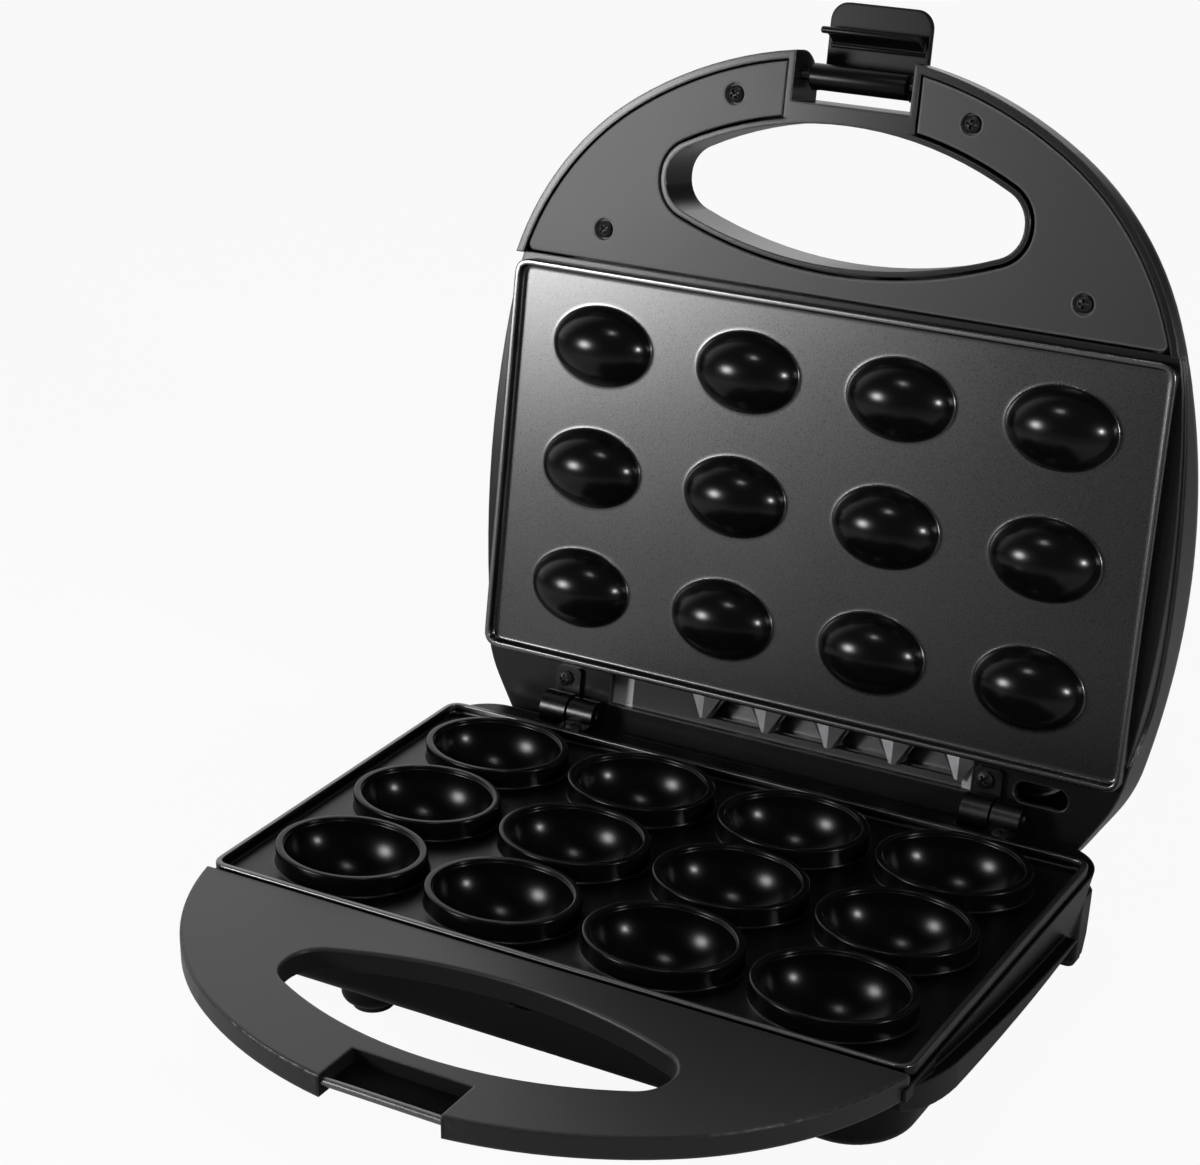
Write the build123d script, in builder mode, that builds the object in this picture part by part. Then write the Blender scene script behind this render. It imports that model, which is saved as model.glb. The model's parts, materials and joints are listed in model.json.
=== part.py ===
from build123d import *
import math
import os

os.makedirs("parts", exist_ok=True)

# Twelve-cup cookie maker with a hinged lid, standing open as in use.
# X runs left to right, Y from the handles to the hinge, Z up from the table.
# Lid and latch are drawn shut and then turned open about their hinge lines.

# Overall driving sizes
rim_height = 36.0          # table to the plane where the two plates meet
rim_gap = 0.2              # each plate rim stays this far from that plane
open_angle = 100.3         # lid opening
latch_angle = 90.0         # latch travel

# Plan of handles and bodies
front_reach = 137.5        # plate centre to the front of the handles
front_radius = 128.0
side_radius = 91.3
half_width = 111.4
flank_half = 108.8         # flanks of the base
handle_back_y = -64.5      # where the handles end and the flanks begin
wall = 2.4                 # moulded wall
cover_wall = 2.2

# Hinge line and its knuckles
hinge_y = 76.9
hinge_drop = 1.3           # hinge line below the rim plane
hinge_x = 72.0
knuckle_length = 8.9
knuckle_gap = 0.6          # between the lid's and the base's knuckle
base_knuckle_radius = 4.7
knuckle_pocket = 7.4       # pocket in the base under each knuckle, below the rim plane
hinge_pin_radius = 2.0
press_clearance = 0.02
running_clearance = 0.05
bracket_sheet = 1.6
bracket_front_y = 64.3
bracket_screw_y = 68.0
bracket_screw_offset = 5.6

# Cooking plates
plate_length = 216.0
plate_width = 125.4
plate_corner = 4.5
plate_rim = 1.8            # width of the raised rim
well_depth = 3.0
plate_sheet = 2.4
shell_drop = 4.0           # housings end this far from the rim plane
pitch_x = 50.5
pitch_y = 38.6
columns = 4
rows = 3
dome_half_length = 17.6
dome_half_width = 12.4
dome_wall = 2.2
cup_half_length = 20.5
cup_half_width = 16.3
cup_wall = 2.0
ring_half_length = 23.0
ring_half_width = 18.2
ring_top = 2.6             # cup rings above the rim plane

# Hand slot and latch notch
slot_half = 58.0
slot_rear_y = -74.8
slot_front_y = 21.5 - front_reach
slot_rear_radius = 142.0
slot_front_radius = 115.6
slot_corner = 10.0
notch_half = 19.0
base_notch_half = 18.0
notch_rear_y = 16.2 - front_reach
notch_wall = 2.0

# Lid shell
lid_rim = 0.5              # handle rim of the lid shell above the rim plane
lid_handle_depth = 17.5
lid_depth = 33.5
crown_y = 20.0
crown_radius = 215.0
crown_blend = 40.0
lid_edge_round = 12.0
lid_rear_y = 91.0
lid_half = 114.0           # the bowed flanks at their widest
lid_widest_y = -1.0
lid_flank_y = -55.0        # where the handle's side arc meets the flank
taper_edge_x = 107.1       # where the flank starts to taper
taper_y = 66.5
taper_x = 91.8             # rear corner of the plan
taper_blend = 40.0
rear_blend = 14.0
flank_recess = 0.9         # flanks step in under the crease
vent_left = -62.0
vent_right = 61.5
vent_rear_y = 73.4
corner_vent_left = 75.0
corner_vent_right = 92.0
corner_vent_y = 69.5
corner_vent_width = 6.5

# Lid handle cover
panel_inset = 2.9
panel_face = 1.0           # its face above the rim plane
panel_rear_y = -65.6
panel_slot_gap = 2.6
slot_lip = 1.6
panel_notch_half = 21.5
panel_corner = 2.0
panel_screw_outer = (78.0, -75.3)
panel_screw_inner = (38.0, 16.5 - front_reach)
boss_radius = 3.6
panel_recess = 1.2
panel_screw_length = 11.0
panel_chamfer = 0.4

# Screws
screw_radius = 1.4
screw_head_radius = 2.7
screw_head_height = 1.8
screw_clearance = 0.1
head_recess_radius = 3.3
cross_width = 0.9
cross_length = 3.2
cross_depth = 1.0

# Latch
latch_pivot_y = 8.7 - front_reach
latch_pivot_z = 7.0        # above the rim plane
latch_half = 15.75
latch_barrel_radius = 3.9
latch_pin_radius = 1.5
latch_pin_half = 22.5
latch_offset = 9.2         # pivot to the inner face of the latch plate
latch_sheet = 2.0
latch_length = 22.0        # pivot to the tip
latch_tip_corner = 5.0
hook_clearance = 0.4       # hook to catch bar
hook_height = 3.4
hook_reach = 4.7
hook_side_gap = 1.0
latch_web = (1.9, 3.9)      # top web above the pivot
latch_bend = 2.5
latch_rib_drop = 8.0

# Base housing
tub_depth = 27.5
tub_foot_half = 103.5      # the flanks lean in towards the floor
tub_front_y = -66.5
tub_rear_y = 75.0
tub_front_corner = 18.0
tub_rear_corner = 15.0
tub_edge_round = 4.5
base_face = 1.0            # handle face under the rim plane
skirt_depth = 7.4
tray_sheet = 2.0
fit_gap = 0.2
cover_rear_y = -63.6
floor_front_y = 7.0 - front_reach
catch_radius = 1.2
catch_half = 20.2
cover_round = 0.8
cover_screw_outer = (84.0, -72.0)
cover_screw_inner = (40.0, 14.5 - front_reach)
cover_screw_thread = 3.0
catch_y = 3.1 - front_reach
catch_drop = 3.6
fairing_end_y = 52.0
fairing_crease = [(-66.5, -4.5), (-36.0, -10.0), (-3.0, -15.0), (25.0, -18.0), (52.0, -20.0)]
fairing_foot = [(52.0, -20.6), (22.0, -20.6), (-14.0, -18.8), (-36.0, -17.0), (-53.0, -14.6),
                (-66.5, -10.5)]
lid_crease = [(-64.5, 6.0), (-50.0, 6.2), (-36.0, 6.6), (-7.0, 8.0), (8.0, 9.4), (22.0, 11.0),
              (32.0, 11.8), (41.0, 11.4), (48.0, 9.0), (55.0, 5.0)]
lens_place = (9.0, -70.0)
lens_radius = 2.2
lens_flange_radius = 2.9
lens_dome = 1.3
lens_stem = 4.0
lens_seat = 0.06           # flange above the gently rising back
lamp_holder_width = 6.0
lamp_holder_depth = 6.0
strip_height = 9.4         # vent strip above the rim plane
strip_sheet = 1.0
strip_front_y = 62.4
strip_rear_y = 74.6
strip_window_front = 65.0
strip_window_rear = 71.8
gusset_top_width = 12.7
gusset_tip = 2.0
gusset_rise = 2.2
gusset_spacing = 21.6
gusset_count = 5
first_gusset_x = -30.6

# Feet
foot_pad_height = 2.0
front_foot = (59.5, -53.5)
front_foot_radius = 9.0
rear_foot = (100.4, 66.5)
rear_foot_top = (13.0, 16.5)
rear_foot_tip = (8.2, 9.2)
leg_top_drop = 12.0
foot_round = 3.0
pad_radius = 6.0
pad_recess = 1.0
post_radius = 4.5
recess_depth = 4.0
gusset_pitch = 32.0
gusset_sheet = 2.0
gusset_reach = 10.0
gusset_depth = 14.5
base_boss_radius = 3.2
base_boss_depth = 9.0
bracket_screw_length = 8.0
pocket_front_y = 71.0
gland_x = 40.0
gland_drop = 11.3
gland_radius = 4.0
gland_flange = 3.0
cord_hole_radius = 2.9
terminal_x = 12.0
terminal_y = 62.4
terminal_size = (26.0, 8.0, 10.0)

# Heating parts
heater_radius = 3.2
heater_bend_x = -82.0
heater_end_x = 92.0
cold_pin_radius = 1.3
cold_pin_length = 8.0
bead_length = 5.0
clip_x = 50.5
clip_width = 8.0
clip_sheet = 1.0
seat_gap = 0.3
sheet = 0.8                # reflector sheet
pan_half = 91.0
pan_front_y = -52.0
pan_rear_y = 72.6
base_pan_rear_y = 58.0
pan_corner = 14.0
pan_wall = 2.8
plate_boss_radius = 3.3
plate_offset_y = -0.5      # the moulds sit slightly forward on the plate
plate_rim_chamfer = 0.6
well_fillet = 1.0
ring_round = 0.6
heater_spread = 19.3       # middle line to each heater run
heater_seat = 0.05
pan_depth = 18.0           # far face of the base reflector under the rim plane
lid_pan_depth = 15.2
clip_reach = 25.0
clip_stop_y = 23.6
clip_stop_height = 2.2
clip_screw_length = 6.0
thread_depth = 7.0
thermostat_size = (7.0, 19.0, 3.6)
fuse_radius = 2.0
fuse_length = 11.0
bead_round = 0.8
lug_width = 8.0
lug_sheet = 2.2
lug_y = 64.0               # rear lugs of the lid plate, under the hinge screws
lug_length = 15.0
lug_root_y = 58.0
lug_root = 5.0
tab_x = 62.0
tab_y = -66.0              # front tabs of the lid plate
tab_length = 19.0
tab_width = 9.0
tab_root_y = -59.0
tab_root = 3.0
tab_screw_y = -71.5
shelf_half = 12.5          # shelf under each knuckle pocket of the base
pocket_half = 10.1

rim_z = rim_height
hinge_z = rim_z - hinge_drop
side_x = half_width - side_radius
front_y = front_radius - front_reach
side_y = front_y - math.sqrt((front_radius - side_radius) ** 2 - side_x ** 2)
flange = 2.4
lid_knuckle_radius = shell_drop + hinge_drop
plate_back = rim_gap + well_depth + plate_sheet
plate_seat_inset = 1.8
heater_z = rim_z - plate_back - heater_seat - heater_radius
clip_depth = plate_back + heater_seat + 2 * heater_radius + 0.05
strip_z = rim_z + strip_height
hinge_axis = Axis((0, hinge_y, hinge_z), (1, 0, 0))
latch_axis = Axis((0, latch_pivot_y, rim_z + latch_pivot_z), (1, 0, 0))


def write_piece(piece, name):
    """Label a finished piece and write its file."""
    piece.label = name
    export_step(piece, f"parts/{name}.step")


def opened(piece):
    """A piece of the lid, turned from shut to open."""
    return piece.rotate(hinge_axis, -open_angle)


def upside_down(piece):
    """A piece of the base, mirrored in the rim plane to serve in the lid."""
    return piece.mirror(Plane.XY.offset(rim_z))


def bounding_edges(faces):
    """Edges that belong to just one face of a group."""
    edges = [edge for face in faces for edge in face.edges()]
    return ShapeList(e for e in edges if sum(e.is_same(other) for other in edges) == 1)


def corner_arc(inset, end_y):
    """Points of the right side arc of the handle plan, from the front arc to end_y."""
    reach = math.hypot(side_x, side_y - front_y)
    radius = side_radius - inset
    start_angle = math.atan2(side_y - front_y, side_x)
    end_angle = math.asin((end_y - side_y) / radius)
    middle = (start_angle + end_angle) / 2
    start_scale = (front_radius - inset) / reach
    start = (side_x * start_scale, front_y + (side_y - front_y) * start_scale)
    via = (side_x + radius * math.cos(middle), side_y + radius * math.sin(middle))
    end = (side_x + radius * math.cos(end_angle), end_y)
    return start, via, end


def mirrored(point):
    """The same point on the other side."""
    return (-point[0], point[1])


def handle_plan(inset, rear_y):
    """Plan of a handle: a wide front arc and two side arcs, cut straight at rear_y."""
    start, via, end = corner_arc(inset, rear_y)
    with BuildSketch() as plan:
        with BuildLine():
            ThreePointArc(mirrored(start), (0, -front_reach + inset), start)
            ThreePointArc(start, via, end)
            Line(end, mirrored(end))
            ThreePointArc(mirrored(end), mirrored(via), mirrored(start))
        make_face()
    return plan.sketch


def lid_plan(inset):
    """Plan of the whole lid: the handle arcs, bowed flanks and tapered rear corners."""
    start, via, end = corner_arc(0, lid_flank_y)
    widest = (lid_half, lid_widest_y)
    taper = (taper_edge_x, taper_y)
    corner = (taper_x, lid_rear_y)
    with BuildSketch() as plan:
        with BuildLine():
            ThreePointArc(mirrored(start), (0, -front_reach), start)
            ThreePointArc(start, via, end)
            ThreePointArc(end, widest, taper)
            Polyline(taper, corner, mirrored(corner), mirrored(taper))
            ThreePointArc(mirrored(taper), mirrored(widest), mirrored(end))
            ThreePointArc(mirrored(end), mirrored(via), mirrored(start))
        make_face()
        fillet(plan.vertices().group_by(Axis.Y)[-1], rear_blend)
        fillet(plan.vertices().filter_by_position(Axis.Y, taper_y - 1, taper_y + 1), taper_blend)
        if inset:
            offset(amount=-inset, mode=Mode.REPLACE)
    return plan.sketch


def hand_slot(grow):
    """Outline of the hand slot: two shallow arcs with round ends."""
    rear_end = slot_rear_y - slot_rear_radius + math.sqrt(slot_rear_radius ** 2 - slot_half ** 2)
    front_end = slot_front_y + slot_front_radius - math.sqrt(slot_front_radius ** 2 - slot_half ** 2)
    with BuildSketch() as slot:
        with BuildLine():
            ThreePointArc((-slot_half, rear_end), (0, slot_rear_y), (slot_half, rear_end))
            Line((slot_half, rear_end), (slot_half, front_end))
            ThreePointArc((slot_half, front_end), (0, slot_front_y), (-slot_half, front_end))
            Line((-slot_half, front_end), (-slot_half, rear_end))
        make_face()
        fillet(slot.vertices(), slot_corner)
        if grow:
            offset(amount=grow, mode=Mode.REPLACE)
    return slot.sketch


def block(x_range, y_range, z_range):
    """A plain block between limits, to cut with or to keep."""
    with BuildPart() as body:
        with BuildSketch(Plane.XY.offset(z_range[0])):
            with Locations(((x_range[0] + x_range[1]) / 2, (y_range[0] + y_range[1]) / 2)):
                Rectangle(x_range[1] - x_range[0], y_range[1] - y_range[0])
        extrude(amount=z_range[1] - z_range[0])
    return body.part


def post(place, radius, z_range):
    """A round post or hole between two heights."""
    with BuildPart() as body:
        with BuildSketch(Plane.XY.offset(z_range[0])):
            with Locations(place):
                Circle(radius)
        extrude(amount=z_range[1] - z_range[0])
    return body.part


def screw(place, head_z, length, down):
    """Cross-head screw: a flat-topped head with a cross recess and a plain shank."""
    side = 1 if down else -1
    with BuildPart() as body:
        with BuildSketch(Plane.XY.offset(head_z)):
            with Locations(place):
                Circle(screw_head_radius)
        extrude(amount=-side * screw_head_height)
        with BuildSketch(Plane.XY.offset(head_z - side * screw_head_height)):
            with Locations(place):
                Circle(screw_radius)
        extrude(amount=-side * length)
        with BuildSketch(Plane.XY.offset(head_z)):
            with Locations(place):
                Rectangle(cross_length, cross_width)
                Rectangle(cross_width, cross_length)
        extrude(amount=-side * cross_depth, mode=Mode.SUBTRACT)
    return body.part


def four(point):
    """A point mirrored to both sides."""
    return [point, mirrored(point)]


def cylinder_x(radius, x_range, y, z):
    """A round bar along X."""
    with BuildPart() as body:
        with BuildSketch(Plane.YZ.offset(x_range[0])):
            with Locations((y, z)):
                Circle(radius)
        extrude(amount=x_range[1] - x_range[0])
    return body.part


def half_spheroid(half_length, half_breadth, up):
    """Half of an ellipse turned about its long axis, open side flat."""
    with BuildPart() as body:
        with BuildSketch():
            with BuildLine():
                EllipticalCenterArc((0, 0), half_length, half_breadth, 0, arc_size=180)
                Line((-half_length, 0), (half_length, 0))
            make_face()
        revolve(axis=Axis.X, revolution_arc=180 if up else -180)
    return body.part


def plate_outline(inset):
    """Rounded rectangle of a cooking plate."""
    with BuildSketch() as outline:
        RectangleRounded(plate_length - 2 * inset, plate_width - 2 * inset, plate_corner - inset)
    return outline.sketch


def at_height(sketch_, z):
    """A plan sketch lifted to a height."""
    return sketch_.moved(Location((0, 0, z)))


# Lid shell form, the same for the outside and for the hollow
def lid_profile(inset):
    """Side view of the lid: a level handle and a crowned back, from the rim plane up."""
    top = lid_handle_depth - inset
    centre_z = lid_depth - crown_radius
    radius = crown_radius - inset
    meet_y = crown_y - math.sqrt(radius ** 2 - (top - centre_z) ** 2)
    end_y = lid_rear_y + 5
    end_z = centre_z + math.sqrt(radius ** 2 - (end_y - crown_y) ** 2)
    start_y = -front_reach - 5
    with BuildSketch(Plane.YZ.offset(-lid_half - 5)) as profile:
        with BuildLine():
            Line((start_y, rim_z), (start_y, rim_z + top))
            Line((start_y, rim_z + top), (meet_y, rim_z + top))
            ThreePointArc((meet_y, rim_z + top), (crown_y, rim_z + centre_z + radius),
                          (end_y, rim_z + end_z))
            Polyline((end_y, rim_z + end_z), (end_y, rim_z), (start_y, rim_z))
        make_face()
        fillet(profile.vertices().sort_by_distance((meet_y, rim_z + top, 0))[0],
               crown_blend + inset)
    return profile.sketch


def lid_form(inset):
    """The lid as a solid block, or its hollow when inset by the wall."""
    plan = at_height(lid_plan(inset), rim_z)
    profile = lid_profile(inset)
    with BuildPart() as form:
        extrude(plan, amount=lid_depth + 5)
        extrude(profile, amount=2 * lid_half + 10, dir=(1, 0, 0), mode=Mode.INTERSECT)
        backs = form.faces().filter_by(lambda face: face.normal_at().Z > 0.5)
        fillet(bounding_edges(backs), lid_edge_round - inset)
    return form.part


def cup_centres():
    """Middles of the twelve moulds."""
    return GridLocations(pitch_x, pitch_y, columns, rows)


def plate_blank():
    """Cooking plate of the base without its moulds: raised rim, flat well and seat."""
    with BuildPart() as blank:
        extrude(at_height(plate_outline(0), rim_z - shell_drop), amount=shell_drop - rim_gap)
        chamfer(blank.faces().sort_by(Axis.Z)[-1].edges(), plate_rim_chamfer)
        extrude(at_height(plate_outline(plate_seat_inset), rim_z - plate_back),
                amount=plate_back - shell_drop)
        extrude(at_height(plate_outline(plate_rim), rim_z - rim_gap - well_depth),
                amount=well_depth, mode=Mode.SUBTRACT)
        floor_edges = blank.edges().filter_by_position(
            Axis.Z, rim_z - rim_gap - well_depth - 0.01, rim_z - rim_gap - well_depth + 0.01)
        fillet(floor_edges, well_fillet)
    return blank.part


def cup_collar():
    """Raised oval ring round a cup, flared at its foot."""
    foot = rim_z - rim_gap - well_depth - 0.5
    with BuildPart() as collar:
        with BuildSketch(Plane.XY.offset(foot)):
            Ellipse(ring_half_length, ring_half_width)
        extrude(amount=ring_top + rim_z - foot)
        fillet(collar.faces().sort_by(Axis.Z)[-1].edges(), ring_round)
    return collar.part


# Cooking plate of the base
blank = plate_blank()
collar = cup_collar()
cup_outside = half_spheroid(cup_half_length + cup_wall, cup_half_width + cup_wall, False)
cup_inside = half_spheroid(cup_half_length, cup_half_width, False)
with BuildPart() as base_plate:
    add(blank)
    with Locations((0, plate_offset_y, 0)):
        with cup_centres():
            add(collar)
    with Locations((0, plate_offset_y, rim_z + ring_top)):
        with cup_centres():
            add(cup_outside)
    with BuildSketch(Plane.XY.offset(rim_z - plate_back)):
        with GridLocations(2 * clip_x, 2 * pitch_y, 2, 2):
            Circle(plate_boss_radius)
    extrude(amount=-(pan_depth - sheet - plate_back))
    with BuildSketch(Plane.XY.offset(rim_z - plate_back)):
        with GridLocations(clip_x, 1, 3, 1):
            Circle(plate_boss_radius)
    extrude(amount=-(clip_depth - plate_back))
    with Locations((0, plate_offset_y, rim_z + ring_top)):
        with cup_centres():
            add(cup_inside, mode=Mode.SUBTRACT)
    with BuildSketch(Plane.XY.offset(rim_z - pan_depth)):
        with GridLocations(2 * clip_x, 2 * pitch_y, 2, 2):
            Circle(screw_radius)
    extrude(amount=thread_depth, mode=Mode.SUBTRACT)
    with BuildSketch(Plane.XY.offset(rim_z - clip_depth)):
        with GridLocations(clip_x, 1, 3, 1):
            Circle(screw_radius)
    extrude(amount=clip_screw_length, mode=Mode.SUBTRACT)
write_piece(base_plate.part, "base_plate")


# Cooking plate of the lid, with a hollow dome over every cup
dome_outside = half_spheroid(dome_half_length, dome_half_width, False)
dome_inside = half_spheroid(dome_half_length - dome_wall, dome_half_width - dome_wall, False)
lid_blank = upside_down(blank)
with BuildPart() as lid_plate:
    add(lid_blank)
    with Locations((0, plate_offset_y, rim_z + plate_back)):
        with cup_centres():
            add(dome_outside)
            add(dome_inside, mode=Mode.SUBTRACT)
    with BuildSketch(Plane.XY.offset(rim_z + plate_back)):
        with GridLocations(2 * clip_x, 2 * pitch_y, 2, 2):
            Circle(plate_boss_radius)
    extrude(amount=lid_pan_depth - plate_back)
    with BuildSketch(Plane.XY.offset(rim_z + plate_back)):
        with GridLocations(clip_x, 1, 3, 1):
            Circle(plate_boss_radius)
    extrude(amount=clip_depth - plate_back)
    with BuildSketch(Plane.XY.offset(rim_z + plate_back - 1)):
        with Locations(*((side * hinge_x - bracket_screw_offset, lug_root_y) for side in (-1, 1))):
            Rectangle(lug_width, lug_root)
    extrude(amount=shell_drop + flange + lug_sheet - plate_back + 1)
    with BuildSketch(Plane.XY.offset(rim_z + shell_drop + flange)):
        with Locations(*((side * hinge_x - bracket_screw_offset, lug_y) for side in (-1, 1))):
            Rectangle(lug_width, lug_length)
        with Locations(*((side * tab_x, tab_y) for side in (-1, 1))):
            Rectangle(tab_width, tab_length)
    extrude(amount=lug_sheet)
    with BuildSketch(Plane.XY.offset(rim_z + plate_back - 1)):
        with Locations(*((side * tab_x, tab_root_y) for side in (-1, 1))):
            Rectangle(tab_width, tab_root)
    extrude(amount=shell_drop + flange + lug_sheet - plate_back + 1)
    with BuildSketch(Plane.XY.offset(rim_z)):
        with Locations(*((side * hinge_x - bracket_screw_offset, bracket_screw_y)
                         for side in (-1, 1))):
            Circle(screw_radius)
        with Locations(*((side * tab_x, tab_screw_y) for side in (-1, 1))):
            Circle(screw_radius)
    extrude(amount=30, mode=Mode.SUBTRACT)
    with BuildSketch(Plane.XY.offset(rim_z + lid_pan_depth)):
        with GridLocations(2 * clip_x, 2 * pitch_y, 2, 2):
            Circle(screw_radius)
    extrude(amount=-thread_depth, mode=Mode.SUBTRACT)
    with BuildSketch(Plane.XY.offset(rim_z + clip_depth)):
        with GridLocations(clip_x, 1, 3, 1):
            Circle(screw_radius)
    extrude(amount=-clip_screw_length, mode=Mode.SUBTRACT)
write_piece(opened(lid_plate.part), "lid_plate")


# Heating parts that lid and base share, drawn for the base
def heater_path():
    """Middle line of the heater: two runs joined by a half circle."""
    with BuildLine(Plane.XY.offset(heater_z)) as path:
        Line((heater_end_x, -heater_spread), (heater_bend_x, -heater_spread))
        ThreePointArc((heater_bend_x, -heater_spread), (heater_bend_x - heater_spread, 0),
                      (heater_bend_x, heater_spread))
        Line((heater_bend_x, heater_spread), (heater_end_x, heater_spread))
    return path


def heater():
    """Sheathed U-shaped heater with a thin cold pin at each end."""
    path = heater_path()
    with BuildPart() as tube:
        with BuildSketch(Plane.YZ.offset(heater_end_x)):
            with Locations((-heater_spread, heater_z)):
                Circle(heater_radius)
        sweep(path=path.wires()[0])
        with BuildSketch(Plane.YZ.offset(heater_end_x)):
            with Locations((-heater_spread, heater_z), (heater_spread, heater_z)):
                Circle(cold_pin_radius)
        extrude(amount=cold_pin_length)
    return tube.part


def heater_beads():
    """Ceramic beads round the cold pins."""
    with BuildPart() as beads:
        with BuildSketch(Plane.YZ.offset(heater_end_x)):
            with Locations((-heater_spread, heater_z), (heater_spread, heater_z)):
                Circle(heater_radius - 0.4)
                Circle(cold_pin_radius + press_clearance, mode=Mode.SUBTRACT)
        extrude(amount=bead_length)
        fillet(beads.faces().sort_by(Axis.X)[-2:].edges().filter_by(
            lambda edge: edge.radius > 2), bead_round)
    return beads.part


def heater_clips():
    """Sprung straps across both heater runs, with turned-up ends."""
    with BuildPart() as clips:
        with BuildSketch(Plane.XY.offset(rim_z - clip_depth - clip_sheet)):
            with GridLocations(clip_x, 1, 3, 1):
                SlotOverall(2 * clip_reach, clip_width, rotation=90)
                Circle(screw_radius + screw_clearance, mode=Mode.SUBTRACT)
        extrude(amount=clip_sheet)
        with BuildSketch(Plane.XY.offset(rim_z - clip_depth)):
            with GridLocations(clip_x, 2 * clip_stop_y, 3, 2):
                Rectangle(clip_width / 2, clip_sheet)
        extrude(amount=clip_stop_height)
    return clips.part


def clip_screws():
    """The screw in the middle of each strap."""
    with BuildPart() as screws:
        with GridLocations(clip_x, 1, 3, 1):
            add(screw((0, 0), rim_z - clip_depth - clip_sheet - screw_head_height,
                      clip_screw_length, False))
    return screws.part


def reflector(depth, y_range, hole_radius):
    """Bright tray that keeps the heat at the plate, depth being its far face."""
    centre = (y_range[0] + y_range[1]) / 2
    with BuildPart() as pan:
        with BuildSketch(Plane.XY.offset(rim_z - depth)):
            with Locations((0, centre)):
                RectangleRounded(2 * pan_half, y_range[1] - y_range[0], pan_corner)
        extrude(amount=sheet + pan_wall)
        with BuildSketch(Plane.XY.offset(rim_z - depth + sheet)):
            with Locations((0, centre)):
                RectangleRounded(2 * (pan_half - sheet), y_range[1] - y_range[0] - 2 * sheet,
                                 pan_corner - sheet)
        extrude(amount=pan_wall, mode=Mode.SUBTRACT)
        with BuildSketch(Plane.XY.offset(rim_z - depth)):
            with GridLocations(2 * clip_x, 2 * pitch_y, 2, 2):
                Circle(hole_radius)
        extrude(amount=sheet, mode=Mode.SUBTRACT)
    return pan.part


def thermostat():
    """Flat snap thermostat with two upright terminals, between two cups."""
    with BuildPart() as body:
        with BuildSketch(Plane.XY.offset(rim_z - plate_back - seat_gap)):
            with Locations((0, pitch_y)):
                SlotOverall(thermostat_size[1], thermostat_size[0], rotation=90)
        extrude(amount=-thermostat_size[2])
        with BuildSketch(Plane.XY.offset(rim_z - plate_back - seat_gap - thermostat_size[2])):
            with GridLocations(1, 12, 1, 2):
                with Locations((0, pitch_y)):
                    Rectangle(thermostat_size[0] / 2, sheet)
        extrude(amount=-4)
    return body.part


def thermal_fuse():
    """Thermal cut-out in its clip, between two cups."""
    z = rim_z - plate_back - seat_gap - fuse_radius
    with BuildPart() as fuse:
        with BuildSketch(Plane.XZ.offset(pitch_y - fuse_length / 2)):
            with Locations((0, z)):
                Circle(fuse_radius)
        extrude(amount=fuse_length)
        with BuildSketch(Plane.XZ.offset(pitch_y - fuse_length / 2 - 6)):
            with Locations((0, z)):
                Circle(sheet)
        extrude(amount=fuse_length + 12)
    return fuse.part


shared_parts = {
    "heater": heater(),
    "heater_insulators": heater_beads(),
    "heater_clips": heater_clips(),
    "clip_screws": clip_screws(),
    "thermostat": thermostat(),
    "thermal_fuse": thermal_fuse(),
}
for name, piece in shared_parts.items():
    write_piece(piece, f"base_{name}")
    write_piece(opened(upside_down(piece)), f"lid_{name}")

write_piece(reflector(pan_depth, (-base_pan_rear_y, base_pan_rear_y), screw_radius + screw_clearance),
            "base_reflector")
lid_pan = reflector(lid_pan_depth + sheet, (pan_front_y, pan_rear_y), screw_radius + screw_clearance)
write_piece(opened(upside_down(lid_pan)), "lid_reflector")


# Screws that hold the lid's reflector to bosses of the lid plate
with BuildPart() as lid_reflector_screws:
    with GridLocations(2 * clip_x, 2 * pitch_y, 2, 2):
        add(screw((0, 0), rim_z + lid_pan_depth + sheet + screw_head_height,
                  thread_depth - 1 + sheet, True))
write_piece(opened(lid_reflector_screws.part), "lid_reflector_screws")


# Base housing
def tub_plan(half, inset):
    """Plan of the tub, half being its half width, with all sides moved in by inset."""
    with BuildSketch() as plan:
        with Locations((0, (tub_front_y + tub_rear_y) / 2)):
            Rectangle(2 * (half - inset), tub_rear_y - tub_front_y - 2 * inset)
        fillet(plan.vertices().group_by(Axis.Y)[0], tub_front_corner - inset)
        fillet(plan.vertices().group_by(Axis.Y)[-1], tub_rear_corner - inset)
    return plan.sketch


def tub_form(inset, top_drop):
    """The base as a solid tub with leaning flanks, or its hollow when inset by the wall."""
    low = rim_z - tub_depth + inset
    lean = (flank_half - tub_foot_half) / (tub_depth - shell_drop)
    foot_half = tub_foot_half + lean * inset
    top_half = flank_half - lean * (top_drop - shell_drop)
    with BuildPart() as form:
        with BuildSketch(Plane.XY.offset(low)):
            add(tub_plan(foot_half, inset))
        with BuildSketch(Plane.XY.offset(rim_z - top_drop)):
            add(tub_plan(top_half, inset))
        loft()
        fillet(form.faces().sort_by(Axis.Z)[0].edges(), tub_edge_round - inset)
    return form.part


def fairing_plan():
    """Plan of the strips along the flanks: the handle's side arcs, then straight to the rear."""
    start, via, end = corner_arc(0, side_y)
    tail = (flank_half, fairing_end_y)
    with BuildSketch() as plan:
        with BuildLine():
            ThreePointArc(start, via, end)
            Polyline(end, tail, mirrored(tail), mirrored(end))
            ThreePointArc(mirrored(end), mirrored(via), mirrored(start))
            Line(mirrored(start), start)
        make_face()
    return plan.sketch


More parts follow.
